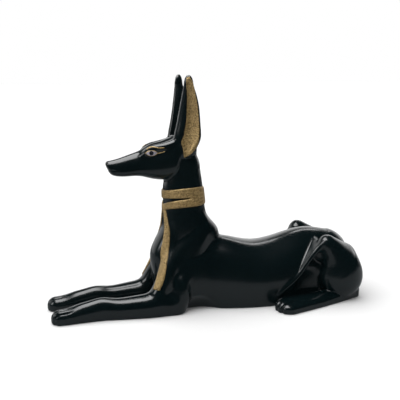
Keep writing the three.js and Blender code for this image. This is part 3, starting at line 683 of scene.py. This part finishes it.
eye_bulge = egg(**EYE_BULGE)
brow_ridge = strand(BROW_RIDGE)
mouth_line = strand(MOUTH_LINE)
jaw_edge = strand(JAW_EDGE)


def hind_foot(x, side, z):
    """Hind foot, in its own direction on the ground."""
    dx = x - FOOT_TOES[0]
    dy = side - FOOT_TOES[1]
    along = dx * foot_axis[0] + dy * foot_axis[1]
    across = dy * foot_axis[0] - dx * foot_axis[1]
    return foot(along, across, z) + toe_grooves(along, across, HIND_TOES)


def haunch(body, x, side, z):
    """Folded hind leg beside the rump, the fold of skin in front of it, and its foot."""
    form = share(body, -flank_hollow(x, side, z), FOLD_FILLET)
    leg = thigh(x, side, z)
    for muscle in (calf, knee_to_hip, knee_root):
        leg = blend(leg, muscle(x, side, z), THIGH_FILLET)
    form = blend(form, leg, FOLD_FILLET)
    for fold in (flank_fold, foot_web):
        form = blend(form, fold(x, side, z), FOLD_FILLET)
    return blend(form, hind_foot(x, side, z), FOOT_FILLET)


def fore_quarter(body, x, side, z):
    """Shoulder with its creases, and the foreleg stretched out on the ground."""
    form = blend(body, shoulder(x, side, z), SHOULDER_FILLET)
    form = share(form, -belly_recess(x, side, z), FOLD_FILLET)
    form = blend(form, upper_arm(x, side, z), ARM_FILLET)
    strength = ease((side - CREASE_SIDE[0]) / (CREASE_SIDE[1] - CREASE_SIDE[0]))
    form = form + (neck_crease(x, z) + shoulder_crease(x, z)) * strength
    form = blend(form, forearm_root(x, side, z), LIMB_FILLET)
    leg = foreleg(x, side, z) + toe_grooves(x, side, FORE_TOES)
    return blend(form, leg, LIMB_FILLET)


def head(x, side, z):
    """Head with its ears."""
    nose_front = (NOSE_TIP[0] - x - NOSE_SLOPE * (z - NOSE_TIP[1])) / np.hypot(1, NOSE_SLOPE)
    form = share(face(x, side, z), nose_front, FACE_FILLET)
    form = blend(form, brow_ridge(x, side, z), FACE_FILLET)
    form = blend(form, skull(x, side, z), FACE_FILLET)
    form = share(form, -eye_socket(x, side, z), FACE_FILLET)
    form = blend(form, eye_bulge(x, side, z), CARVED_EDGE)
    form = share(form, -mouth_line(x, side, z), CARVED_EDGE)
    hollow_ear = share(ear(z, side, x), -ear_hollow(z, side, x), EAR_HOLLOW_EDGE)
    return blend(form, hollow_ear, EAR_FILLET)


def figure(x, y, z):
    """Distance to the whole figure, without its gilding: less than zero inside."""
    side = np.abs(y)
    form = blend(trunk(x, y, z), chest(z, y, x), WITHERS_FILLET)
    fore = np.flatnonzero((z < TORSO_TOP) & (x < WAIST))
    form[fore] = fore_quarter(form[fore], x[fore], side[fore], z[fore])
    rear = np.flatnonzero((z < TORSO_TOP) & (x >= WAIST))
    form[rear] = haunch(form[rear], x[rear], side[rear], z[rear])
    form[rear] = blend(form[rear], tail(x[rear], y[rear], z[rear]), LIMB_FILLET)
    top = np.flatnonzero(z > HEAD_BOTTOM)
    form[top] = blend(form[top], head(x[top], side[top], z[top]), JAW_FILLET)
    form[top] = share(form[top], -jaw_edge(x[top], side[top], z[top]), CARVED_EDGE)
    return share(form, -z, GROUND_EDGE_ROUNDING)


def grid_lines(low, high, step, fine_zones):
    """Places of the grid's planes along each axis, a whole number of blocks of them."""
    lines = []
    for start, end, zones in zip(low, high, fine_zones):
        places = [start]
        while places[-1] < end or len(places) % BLOCK:
            fine = any(first <= places[-1] < last for first, last in zones)
            places.append(places[-1] + step * (FINER if fine else 1))
        lines.append(np.array(places))
    return lines


def grid_points(lines, index):
    """Places of grid points with whole numbers along each axis."""
    return np.stack([places[column] for places, column in zip(lines, index.T)], 1)


def sample(lines):
    """Values of the figure's distance on a grid.

    Blocks that can't hold the surface take the value of their middle.
    """
    in_blocks = [places.reshape(-1, BLOCK) for places in lines]
    blocks = [len(block) for block in in_blocks]
    cells = np.indices(blocks).reshape(3, -1).T
    coarse = figure(*grid_points([block.mean(1) for block in in_blocks], cells).T)
    reach = np.linalg.norm(grid_points([np.ptp(block, axis=1) for block in in_blocks], cells), axis=1)
    values = coarse.reshape(blocks)
    for axis in range(3):
        values = np.repeat(values, BLOCK, axis)
    near = cells[np.abs(coarse) < reach] * BLOCK
    offsets = np.indices([BLOCK] * 3).reshape(3, -1).T
    index = (near[:, None, :] + offsets[None]).reshape(-1, 3)
    values[tuple(index.T)] = figure(*grid_points(lines, index).T)
    return values


def crossed_cells(inside):
    """Whole numbers of the grid's cells that the surface crosses."""
    size = np.array(inside.shape) - 1
    filled = np.zeros(size, np.int8)
    for i, j, k in CELL_CORNERS:
        filled += inside[i:i + size[0], j:j + size[1], k:k + size[2]]
    return np.argwhere((filled > 0) & (filled < len(CELL_CORNERS)))


def cell_points(lines, values, cell):
    """One point in each cell, amid the places where the surface crosses the cell's edges."""
    total = np.zeros((len(cell), 3))
    crossings = np.zeros(len(cell))
    for a in CELL_CORNERS:
        for axis in range(3):
            if a[axis] == 1:
                continue
            b = np.array(a)
            b[axis] = 1
            value_a = values[tuple((cell + a).T)]
            value_b = values[tuple((cell + b).T)]
            crossed = (value_a < 0) != (value_b < 0)
            part = np.where(crossed, value_a / np.where(crossed, value_a - value_b, 1), 0)
            place = np.tile(np.array(a, float), (len(cell), 1))
            place[:, axis] += part
            total += place * crossed[:, None]
            crossings += crossed
    start = grid_points(lines, cell)
    return start + (grid_points(lines, cell + 1) - start) * total / crossings[:, None]


def cell_faces(inside, cell):
    """Four-sided faces between the points of neighbouring cells, which face outwards."""
    size = np.array(inside.shape) - 1
    number = np.full(size, -1)
    number[tuple(cell.T)] = np.arange(len(cell))
    faces = []
    start = inside[:-1, :-1, :-1]
    for axis in range(3):
        ahead = np.zeros(3, int)
        ahead[axis] = 1
        u = np.roll(ahead, 1)
        v = np.roll(ahead, 2)
        end = inside[ahead[0]:ahead[0] + size[0], ahead[1]:ahead[1] + size[1], ahead[2]:ahead[2] + size[2]]
        edge = np.argwhere(start != end)
        edge = edge[(edge[:, np.argmax(u)] > 0) & (edge[:, np.argmax(v)] > 0)]
        ring = np.stack([number[tuple((edge - shift).T)] for shift in (u + v, v, 0 * u, u)], 1)
        outward = start[tuple(edge.T)]
        ring[~outward] = ring[~outward, ::-1]
        faces.append(ring)
    return np.concatenate(faces)


def surface(low, high, step, fine_zones=NO_FINE_ZONES):
    """Points and four-sided faces of the figure's surface, with one point in each cell that it crosses."""
    lines = grid_lines(low, high, step, fine_zones)
    values = sample(lines)
    inside = values < 0
    cell = crossed_cells(inside)
    return settle(cell_points(lines, values, cell)), cell_faces(inside, cell)


def slope(points, form=figure, reach=SLOPE_REACH):
    """Direction and rate at which a form's value grows at each point."""
    gradient = np.zeros_like(points)
    for axis in range(3):
        step = np.zeros(3)
        step[axis] = reach
        gradient[:, axis] = form(*(points + step).T) - form(*(points - step).T)
    return gradient / (2 * reach)


def moved_along(points, gradient, value):
    """Points moved along a slope, to about where the value is zero."""
    rate = np.maximum((gradient ** 2).sum(1), LEAST_RATE)
    return points - gradient * (value / rate)[:, None]


def settle(points):
    """Moves points onto the surface, straight along the slope."""
    for _ in range(SURFACE_PASSES):
        points = moved_along(points, slope(points), figure(*points.T))
    return points


def unit(vectors):
    """Vectors of length one."""
    return vectors / np.maximum(np.linalg.norm(vectors, axis=1), LEAST_LENGTH)[:, None]


def to_frame(points, drawn_box):
    """Places drawn points in the frame, so that the figure's box is the same there."""
    low, high = (np.array(corner) for corner in CAD_BOX)
    size = (points - drawn_box[0]) / (drawn_box[1] - drawn_box[0])
    return low + size * (high - low)


def add_object(name, data):
    """Object in the scene for a mesh, a light or a camera."""
    item = bpy.data.objects.new(name, data)
    bpy.context.scene.collection.objects.link(item)
    return item


def make_piece(name, points, faces, material):
    """Mesh object with smooth shading, which rides on the figure's one body."""
    mesh = bpy.data.meshes.new(name)
    mesh.from_pydata(points.tolist(), [], faces.tolist())
    mesh.shade_smooth()
    mesh.materials.append(material)
    piece = add_object(name, mesh)
    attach(piece, "root")
    return piece


def rounded(inside, relief, edge):
    """Height of a relief inside its border: it rises in a quarter round and then stays level."""
    rise = 1 - np.clip(inside / edge, 0, 1)
    return relief * np.sqrt(1 - rise * rise)


def neck_angle(x, y):
    """Angle of a place round the neck, in degrees from the front."""
    return np.degrees(np.arctan2(np.abs(y), SCARF_AXIS - x))


def scarf_region(x, y, z):
    """How far inside the scarf's two turns a place on the neck lies."""
    angle = neck_angle(x, y)
    top, gap_top, gap_bottom, bottom = (edge(angle) for edge in scarf_edges)
    band = np.minimum(top - z, z - bottom)
    gap = np.minimum(gap_top - z, z - gap_bottom)
    return np.minimum(band, -gap)


def scarf_height(x, y, z):
    """Relief of the scarf, which is thickest at the knot in front."""
    knot = SCARF_KNOT["extra"] * np.exp(-(y / SCARF_KNOT["half"]) ** 2) * (x < SCARF_AXIS)
    return rounded(scarf_region(x, y, z), SCARF_RELIEF + knot, SCARF_EDGE)


def ribbon_inside(x, y, z):
    """How far inside the ribbon's long edges and its lower end a place lies."""
    return np.minimum(-chain_distance(ribbon_chain, x, y, z, False), z - RIBBON_END)


def ribbon_region(x, y, z):
    """The ribbon as far as it shows: its upper end is tucked under the scarf."""
    scarf_bottom = scarf_edges[-1](neck_angle(x, y))
    return np.minimum(ribbon_inside(x, y, z), scarf_bottom + TUCKED_UNDER - z)


def ribbon_height(x, y, z):
    """Relief of the ribbon."""
    return rounded(ribbon_inside(x, y, z), RIBBON_RELIEF, RIBBON_EDGE)


def ear_region(x, y, z):
    """How far inside the gilded lining a place on the outer side of the ear lies."""
    middle = ear_middle(z) + EAR_TURN * (x - (ear_front(z) + ear_back(z)) / 2)
    across = np.minimum(x - lining_front(z), lining_back(z) - x)
    along = np.minimum(z - EAR_GILDING[0][0], EAR_GILDING[-1][0] - z)
    return np.minimum(np.minimum(across, along), y - middle)


def circle_through(a, b, c):
    """Centre and radius of the circle through three points."""
    rows = np.array((np.subtract(b, a), np.subtract(c, a)), float)
    squares = np.array((np.dot(b, b) - np.dot(a, a), np.dot(c, c) - np.dot(a, a))) / 2
    centre = np.linalg.solve(rows, squares)
    return centre, np.hypot(*(centre - a))


def eye_region(x, y, z):
    """How far inside the eye's opening a place on the side of the head lies."""
    arcs = [radius - np.hypot(x - centre[0], z - centre[1]) for centre, radius in eye_lids]
    return np.minimum(*arcs)


def iris_region(x, y, z):
    """How far inside the iris a place lies, where the lids don't cover it."""
    round_part = IRIS_RADIUS - np.hypot(x - IRIS_CENTRE[0], z - IRIS_CENTRE[1])
    return np.minimum(round_part, eye_region(x, y, z))


def eye_line_region(x, y, z):
    """How far inside the gold outline of the eye, or its tail, a place lies."""
    opening = eye_region(x, y, z)
    line = np.maximum(opening + EYE_LINE, eye_tail(x, y, z))
    return np.minimum(line, -opening)


def brow_region(x, y, z):
    """How far inside the gold brow a place on the side of the head lies."""
    return np.minimum(brow_stroke(x, y, z), y - BROW_SIDE)


def stroke(points):
    """Painted line on the side of the head, through points with a half width each."""
    chain = smooth_chain([(x, 0, z, half) for x, z, half in points])
    return lambda x, y, z: -chain_distance(chain, x, np.zeros_like(x), z, False)


scarf_edges = [curve(SCARF_EDGES, column) for column in (1, 2, 3, 4)]
ribbon_chain = smooth_chain(RIBBON)
ear_front = curve(EAR_SECTIONS, 1)
ear_back = curve(EAR_SECTIONS, 2)
ear_middle = curve(EAR_SECTIONS, 3)
lining_front = curve(EAR_GILDING, 1)
lining_back = curve(EAR_GILDING, 2)
eye_lids = [circle_through(EYE_INNER, middle, EYE_OUTER) for middle in (EYE_TOP, EYE_BOTTOM)]
eye_tail = stroke(EYE_TAIL)
brow_stroke = stroke(BROW_LINE)


def snapped(points, region, step):
    """Points with those beside the region's border drawn onto it, and how far inside it each one lies."""
    inside = region(*points.T)
    near = np.flatnonzero(np.abs(inside) < SNAPPED * step)
    moved = points[near]
    for _ in range(SURFACE_PASSES):
        rise = slope(moved, region, SLOPE_REACH * step)
        normal = unit(slope(moved))
        rise -= normal * (rise * normal).sum(1)[:, None]
        moved = settle(moved_along(moved, rise, region(*moved.T)))
    points = points.copy()
    points[near] = moved
    inside[near] = 0
    return points, inside


def clipped(points, quads, region, step):
    """Triangles of a surface inside a region, cut off along its border."""
    points, inside = snapped(points, region, step)
    triangles = np.concatenate([quads[:, [0, 1, 2]], quads[:, [0, 2, 3]]])
    value = inside[triangles]
    whole = (value >= 0).all(1) & (value > 0).any(1)
    mixed = (value > 0).any(1) & (value < 0).any(1)
    extra = []
    numbers = {}
    kept = triangles[whole].tolist()
    for triangle in triangles[mixed].tolist():
        outline = []
        for a, b in zip(triangle, triangle[1:] + triangle[:1]):
            if inside[a] >= 0:
                outline.append(a)
            if inside[a] * inside[b] < 0:
                edge = (min(a, b), max(a, b))
                if edge not in numbers:
                    numbers[edge] = len(points) + len(extra)
                    part = inside[a] / (inside[a] - inside[b])
                    extra.append(points[a] + (points[b] - points[a]) * part)
                outline.append(numbers[edge])
        kept += [[outline[0], b, c] for b, c in zip(outline[1:], outline[2:])]
    if extra:
        points = np.concatenate([points, settle(np.array(extra))])
    used, faces = np.unique(np.array(kept), return_inverse=True)
    return points[used], faces.reshape(-1, 3)


def skin(low, high, step, region, height):
    """Thin closed skin over the figure's surface inside a region, as high as the height says."""
    points, faces = clipped(*surface(low, high, step), region, step)
    normal = unit(slope(points))
    outer = points + normal * (PAINT_LIFT + height(*points.T))[:, None]
    inner = points - normal * SKIN_DEPTH
    count = len(points)
    edges = faces[:, [0, 1, 1, 2, 2, 0]].reshape(-1, 2)
    code = edges[:, 0] * count + edges[:, 1]
    back = edges[:, 1] * count + edges[:, 0]
    rim = edges[~np.isin(back, code)]
    walls = np.concatenate([
        np.stack([rim[:, 1], rim[:, 0], rim[:, 0] + count], 1),
        np.stack([rim[:, 1], rim[:, 0] + count, rim[:, 1] + count], 1),
    ])
    return np.concatenate([outer, inner]), np.concatenate([faces, faces[:, ::-1] + count, walls])


def add_skin(name, shape, drawn_box, material):
    """One skin as a piece."""
    points, faces = shape
    piece = make_piece(name, to_frame(points, drawn_box), faces, material)
    piece.data.set_sharp_from_angle(angle=np.radians(SHARP_FROM))


def add_both_sides(name, shape, drawn_box, material):
    """One skin on the far side of the figure, and its mirror image on the near side."""
    points, faces = shape
    mirrored = points * (1, -1, 1)
    add_skin("near_" + name, (mirrored, faces[:, ::-1]), drawn_box, material)
    add_skin("far_" + name, (points, faces), drawn_box, material)


def flat(x, y, z):
    """No relief."""
    return np.zeros_like(x)


def gilding_pieces(drawn_box):
    """Gilded scarf, ribbons and ear linings."""
    gold = gilding()
    scarf = skin(SCARF_LOW, SCARF_HIGH, GILDING_STEP, scarf_region, scarf_height)
    add_skin("scarf", scarf, drawn_box, gold)
    ribbon = skin(RIBBON_LOW, RIBBON_HIGH, GILDING_STEP, ribbon_region, ribbon_height)
    add_both_sides("ribbon", ribbon, drawn_box, gold)
    lining = skin(EAR_GILDING_LOW, EAR_GILDING_HIGH, GILDING_STEP, ear_region, flat)
    add_both_sides("ear_lining", lining, drawn_box, gold)


def eye_pieces(drawn_box):
    """Painted eyes with their gold lines and brows."""
    def line_height(region):
        return lambda x, y, z: rounded(region(x, y, z), LINE_RELIEF, LINE_EDGE)

    def iris_height(x, y, z):
        return np.full_like(x, IRIS_LIFT - PAINT_LIFT)

    for name, region, height, material, slot in (
        ("eye_white", eye_region, flat, eye_paint("eye_white", EYE_WHITE), "painted_eye"),
        ("iris", iris_region, iris_height, eye_paint("eye_dark", EYE_DARK), "painted_eye"),
        ("eye_line", eye_line_region, line_height(eye_line_region), gilding(), "gilding"),
        ("brow_line", brow_region, line_height(brow_region), gilding(), "gilding"),
    ):
        shape = skin(EYE_LOW, EYE_HIGH, PAINT_STEP, region, height)
        add_both_sides(name, shape, drawn_box, material)


def put(links, socket, value):
    """Gives an input a plain value, or links it to the socket that the value comes from."""
    if isinstance(value, bpy.types.NodeSocket):
        links.new(value, socket)
    else:
        socket.default_value = value


def math_node(nodes, links, operation, *values):
    """Result of one sum of plain values and sockets."""
    node = nodes.new("ShaderNodeMath")
    node.operation = operation
    for socket, value in zip(node.inputs, values):
        put(links, socket, value)
    return node.outputs["Value"]


def mix_node(nodes, links, factor, first, second, kind="FLOAT", way="MIX"):
    """Mix of two values or colours, each of them plain or a socket."""
    node = nodes.new("ShaderNodeMix")
    node.data_type = kind
    node.blend_type = way
    for name, value in (("Factor", factor), ("A", first), ("B", second)):
        put(links, node.inputs[name], value)
    return node.outputs["Result"]


def ramp(nodes, links, source, start, end, low=0.0, high=1.0):
    """Smooth change of a value from low to high, between a start and an end."""
    node = nodes.new("ShaderNodeMapRange")
    node.interpolation_type = "SMOOTHSTEP"
    node.inputs["From Min"].default_value = start
    node.inputs["From Max"].default_value = end
    node.inputs["To Min"].default_value = low
    node.inputs["To Max"].default_value = high
    links.new(source, node.inputs["Value"])
    return node.outputs["Result"]


def new_material(name):
    """Material with a Principled shader, and its node tree's parts."""
    material = bpy.data.materials.new(name)
    material.use_nodes = True
    nodes = material.node_tree.nodes
    return material, nodes, material.node_tree.links, nodes["Principled BSDF"]


def uneven_coat():
    """Shader node group: marks of a coat that was laid on by hand, as a mask, a colour and a roughness.

    The marks' number to a metre can differ along x, y and z, which draws them out into brush streaks.
    """
    if "uneven_coat" in bpy.data.node_groups:
        return bpy.data.node_groups["uneven_coat"]
    group = bpy.data.node_groups.new("uneven_coat", "ShaderNodeTree")
    for name, kind in COAT_INPUTS.items():
        group.interface.new_socket(name, in_out="INPUT", socket_type=kind)
    for name, kind in COAT_OUTPUTS.items():
        group.interface.new_socket(name, in_out="OUTPUT", socket_type=kind)
    nodes = group.nodes
    links = group.links
    given = nodes.new("NodeGroupInput").outputs
    result = nodes.new("NodeGroupOutput").inputs
    place = nodes.new("ShaderNodeTexCoord")
    scaled = nodes.new("ShaderNodeVectorMath")
    scaled.operation = "MULTIPLY"
    links.new(place.outputs["Object"], scaled.inputs[0])
    links.new(given["Marks"], scaled.inputs[1])
    noise = nodes.new("ShaderNodeTexNoise")
    noise.inputs["Scale"].default_value = 1
    noise.inputs["Detail"].default_value = NOISE_DETAIL
    links.new(scaled.outputs["Vector"], noise.inputs["Vector"])
    centred = math_node(nodes, links, "SUBTRACT", noise.outputs["Fac"], NOISE_MIDDLE)
    stretched = math_node(nodes, links, "MULTIPLY", centred, given["Contrast"])
    mask = math_node(nodes, links, "ADD", stretched, NOISE_MIDDLE)
    mask.node.use_clamp = True
    colour = mix_node(nodes, links, mask, given["Thin Colour"], given["Full Colour"], "RGBA")
    roughness = mix_node(nodes, links, mask, given["Smooth"], given["Rough"])
    links.new(mask, result["Mask"])
    links.new(colour, result["Colour"])
    links.new(roughness, result["Roughness"])
    return group


def coat(nodes, marks, colours=(), roughness=()):
    """The uneven coat in a material, with its marks, and with colours and roughness if these are used."""
    node = nodes.new("ShaderNodeGroup")
    node.node_tree = uneven_coat()
    for name, value in zip(COAT_INPUTS, (*marks, *colours, *roughness)):
        node.inputs[name].default_value = value
    return node.outputs


def bump(nodes, links, shader, height, depth):
    """Fine relief of a material: its height, and how many metres deep a height of one is."""
    node = nodes.new("ShaderNodeBump")
    node.inputs["Strength"].default_value = 1
    node.inputs["Distance"].default_value = depth
    links.new(height, node.inputs["Height"])
    links.new(node.outputs["Normal"], shader.inputs["Normal"])


def eye_paint(name, colours):
    """Glossy enamel of the eye, laid on with a fine brush."""
    material, nodes, links, shader = new_material(name)
    enamel = coat(nodes, ENAMEL_MARKS, colours, ENAMEL_ROUGHNESS)
    links.new(enamel["Colour"], shader.inputs["Base Color"])
    links.new(enamel["Roughness"], shader.inputs["Roughness"])
    bump(nodes, links, shader, enamel["Mask"], ENAMEL_DEPTH)
    return material


def gilding():
    """Dull, slightly bronzed gold with a fine stipple and brush marks."""
    if "gilding" in bpy.data.materials:
        return bpy.data.materials["gilding"]
    material, nodes, links, shader = new_material("gilding")
    shader.inputs["Metallic"].default_value = GOLD_METALLIC
    stipple = coat(nodes, GOLD_STIPPLE, GOLD_COLOURS, GOLD_ROUGHNESS)
    streaks = coat(nodes, GOLD_STREAKS, WORN_GOLD)
    worn = mix_node(nodes, links, 1, stipple["Colour"], streaks["Colour"], "RGBA", "MULTIPLY")
    links.new(worn, shader.inputs["Base Color"])
    links.new(stipple["Roughness"], shader.inputs["Roughness"])
    relief = math_node(nodes, links, "ADD", stipple["Mask"], streaks["Mask"])
    bump(nodes, links, shader, relief, GOLD_DEPTH)
    return material


def black_glaze():
    """Deep greenish black glaze, very glossy, that lies a little unevenly over the porcelain."""
    material, nodes, links, shader = new_material("black_glaze")
    shader.inputs["IOR"].default_value = GLAZE_IOR
    clouds = coat(nodes, GLAZE_CLOUDS, GLAZE_COLOURS, GLAZE_ROUGHNESS)
    links.new(clouds["Colour"], shader.inputs["Base Color"])
    links.new(clouds["Roughness"], shader.inputs["Roughness"])
    waves = coat(nodes, GLAZE_WAVES)
    bump(nodes, links, shader, waves["Mask"], GLAZE_DEPTH)
    return material


def glazed_body():
    """The whole casting, in place of its CAD node."""
    step = GLAZE_STEP
    points, faces = surface(SAMPLED_LOW, SAMPLED_HIGH, step, FINE_ZONES)
    normals = unit(slope(points))
    drawn_box = points.min(0), points.max(0)
    body = make_piece("glazed_body", to_frame(points, drawn_box), faces, black_glaze())
    body.data.normals_split_custom_set_from_vertices(normals.tolist())
    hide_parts("jackal_figure")
    return drawn_box


def camera():
    """Camera at the photograph's viewpoint."""
    data = bpy.data.cameras.new("camera")
    data.lens = CAMERA_LENS
    data.sensor_width = CAMERA_SENSOR
    data.clip_end = CAMERA_REACH
    view = add_object("camera", data)
    view.location = CAMERA_PLACE
    view.rotation_euler = np.radians((CAMERA_LEVEL - CAMERA_ELEVATION, 0, CAMERA_AZIMUTH))
    bpy.context.scene.camera = view


def slab(name, low, high, level, material):
    """Flat stage surface between two corners."""
    mesh = bpy.data.meshes.new(name)
    corners = [(low[0], low[1]), (high[0], low[1]), (high[0], high[1]), (low[0], high[1])]
    mesh.from_pydata([(x, y, level) for x, y in corners], [], [(0, 1, 2, 3)])
    mesh.materials.append(material)
    floor = add_object(name, mesh)
    return floor


def floor_material(name, colours):
    """Matt paper."""
    material, nodes, links, shader = new_material(name)
    fibres = coat(nodes, PAPER_FIBRES, colours)
    links.new(fibres["Colour"], shader.inputs["Base Color"])
    shader.inputs["Roughness"].default_value = 1
    shader.inputs["Specular IOR Level"].default_value = 0
    return material


def stage():
    """Pale floor, and a darker and smaller one just below it that only reflections show, as painted shade
    on the floor seen in the glaze.
    """
    floor = slab("floor", *FLOOR, 0, floor_material("paper", PAPER_COLOURS))
    floor.visible_glossy = False
    floor.visible_shadow = False
    # Painted shade: a darker grey floor that only the glaze reflects.
    painted_shade = floor_material("painted_shade_paper", PAINTED_SHADE_COLOURS)
    reflected = slab("reflected_floor", *REFLECTED_FLOOR, -JUST_BELOW, painted_shade)
    reflected.visible_camera = False
    reflected.visible_diffuse = False


def world():
    """White for the camera, even light on everything, and for reflections a dark studio with a backdrop."""
    scene = bpy.context.scene
    scene.world = bpy.data.worlds.new("studio")
    scene.world.use_nodes = True
    nodes = scene.world.node_tree.nodes
    links = scene.world.node_tree.links
    direction = nodes.new("ShaderNodeTexCoord")
    parts = nodes.new("ShaderNodeSeparateXYZ")
    links.new(direction.outputs["Generated"], parts.inputs["Vector"])
    behind = ramp(nodes, links, parts.outputs["Y"], *BACKDROP_FROM)
    above = ramp(nodes, links, parts.outputs["Z"], *BACKDROP_FOOT)
    below = ramp(nodes, links, parts.outputs["Z"], *BACKDROP_TOP, 1.0, 0.0)
    height = math_node(nodes, links, "MULTIPLY", above, below)
    glow = math_node(nodes, links, "MULTIPLY", behind, height)
    glossy = math_node(nodes, links, "MULTIPLY_ADD", glow, BACKDROP_GLOW, DARK_STUDIO)
    path = nodes.new("ShaderNodeLightPath")
    seen = mix_node(nodes, links, path.outputs["Is Glossy Ray"], AMBIENT, glossy)
    final = mix_node(nodes, links, path.outputs["Is Camera Ray"], seen, CAMERA_WHITE)
    backdrop = nodes["Background"]
    backdrop.inputs["Color"].default_value = WHITE
    links.new(final, backdrop.inputs["Strength"])


def shining_along(direction):
    """Turn of a light that shines in a direction."""
    return Vector(direction).to_track_quat("-Z", "Y").to_euler()


def softbox(name, place, target, size, power):
    """Rectangular soft light aimed at a point, which only reflections show."""
    data = bpy.data.lights.new(name, "AREA")
    data.shape = "RECTANGLE"
    data.size = size[0]
    data.size_y = size[1]
    data.energy = power
    light = add_object(name, data)
    light.location = place
    light.rotation_euler = shining_along(Vector(target) - Vector(place))
    light.visible_diffuse = False


def lights():
    """Wide soft sun, which no reflection shows, and the soft lights that only reflections show."""
    data = bpy.data.lights.new("key", "SUN")
    data.energy = KEY_STRENGTH
    data.angle = np.radians(KEY_SOFTNESS)
    key = add_object("key", data)
    key.rotation_euler = shining_along(-Vector(KEY_FROM))
    key.visible_glossy = False
    for light in REFLECTED:
        softbox(*light)


camera()
drawn_box = glazed_body()
gilding_pieces(drawn_box)
eye_pieces(drawn_box)
stage()
world()
lights()
bpy.context.scene.view_settings.view_transform = "Standard"
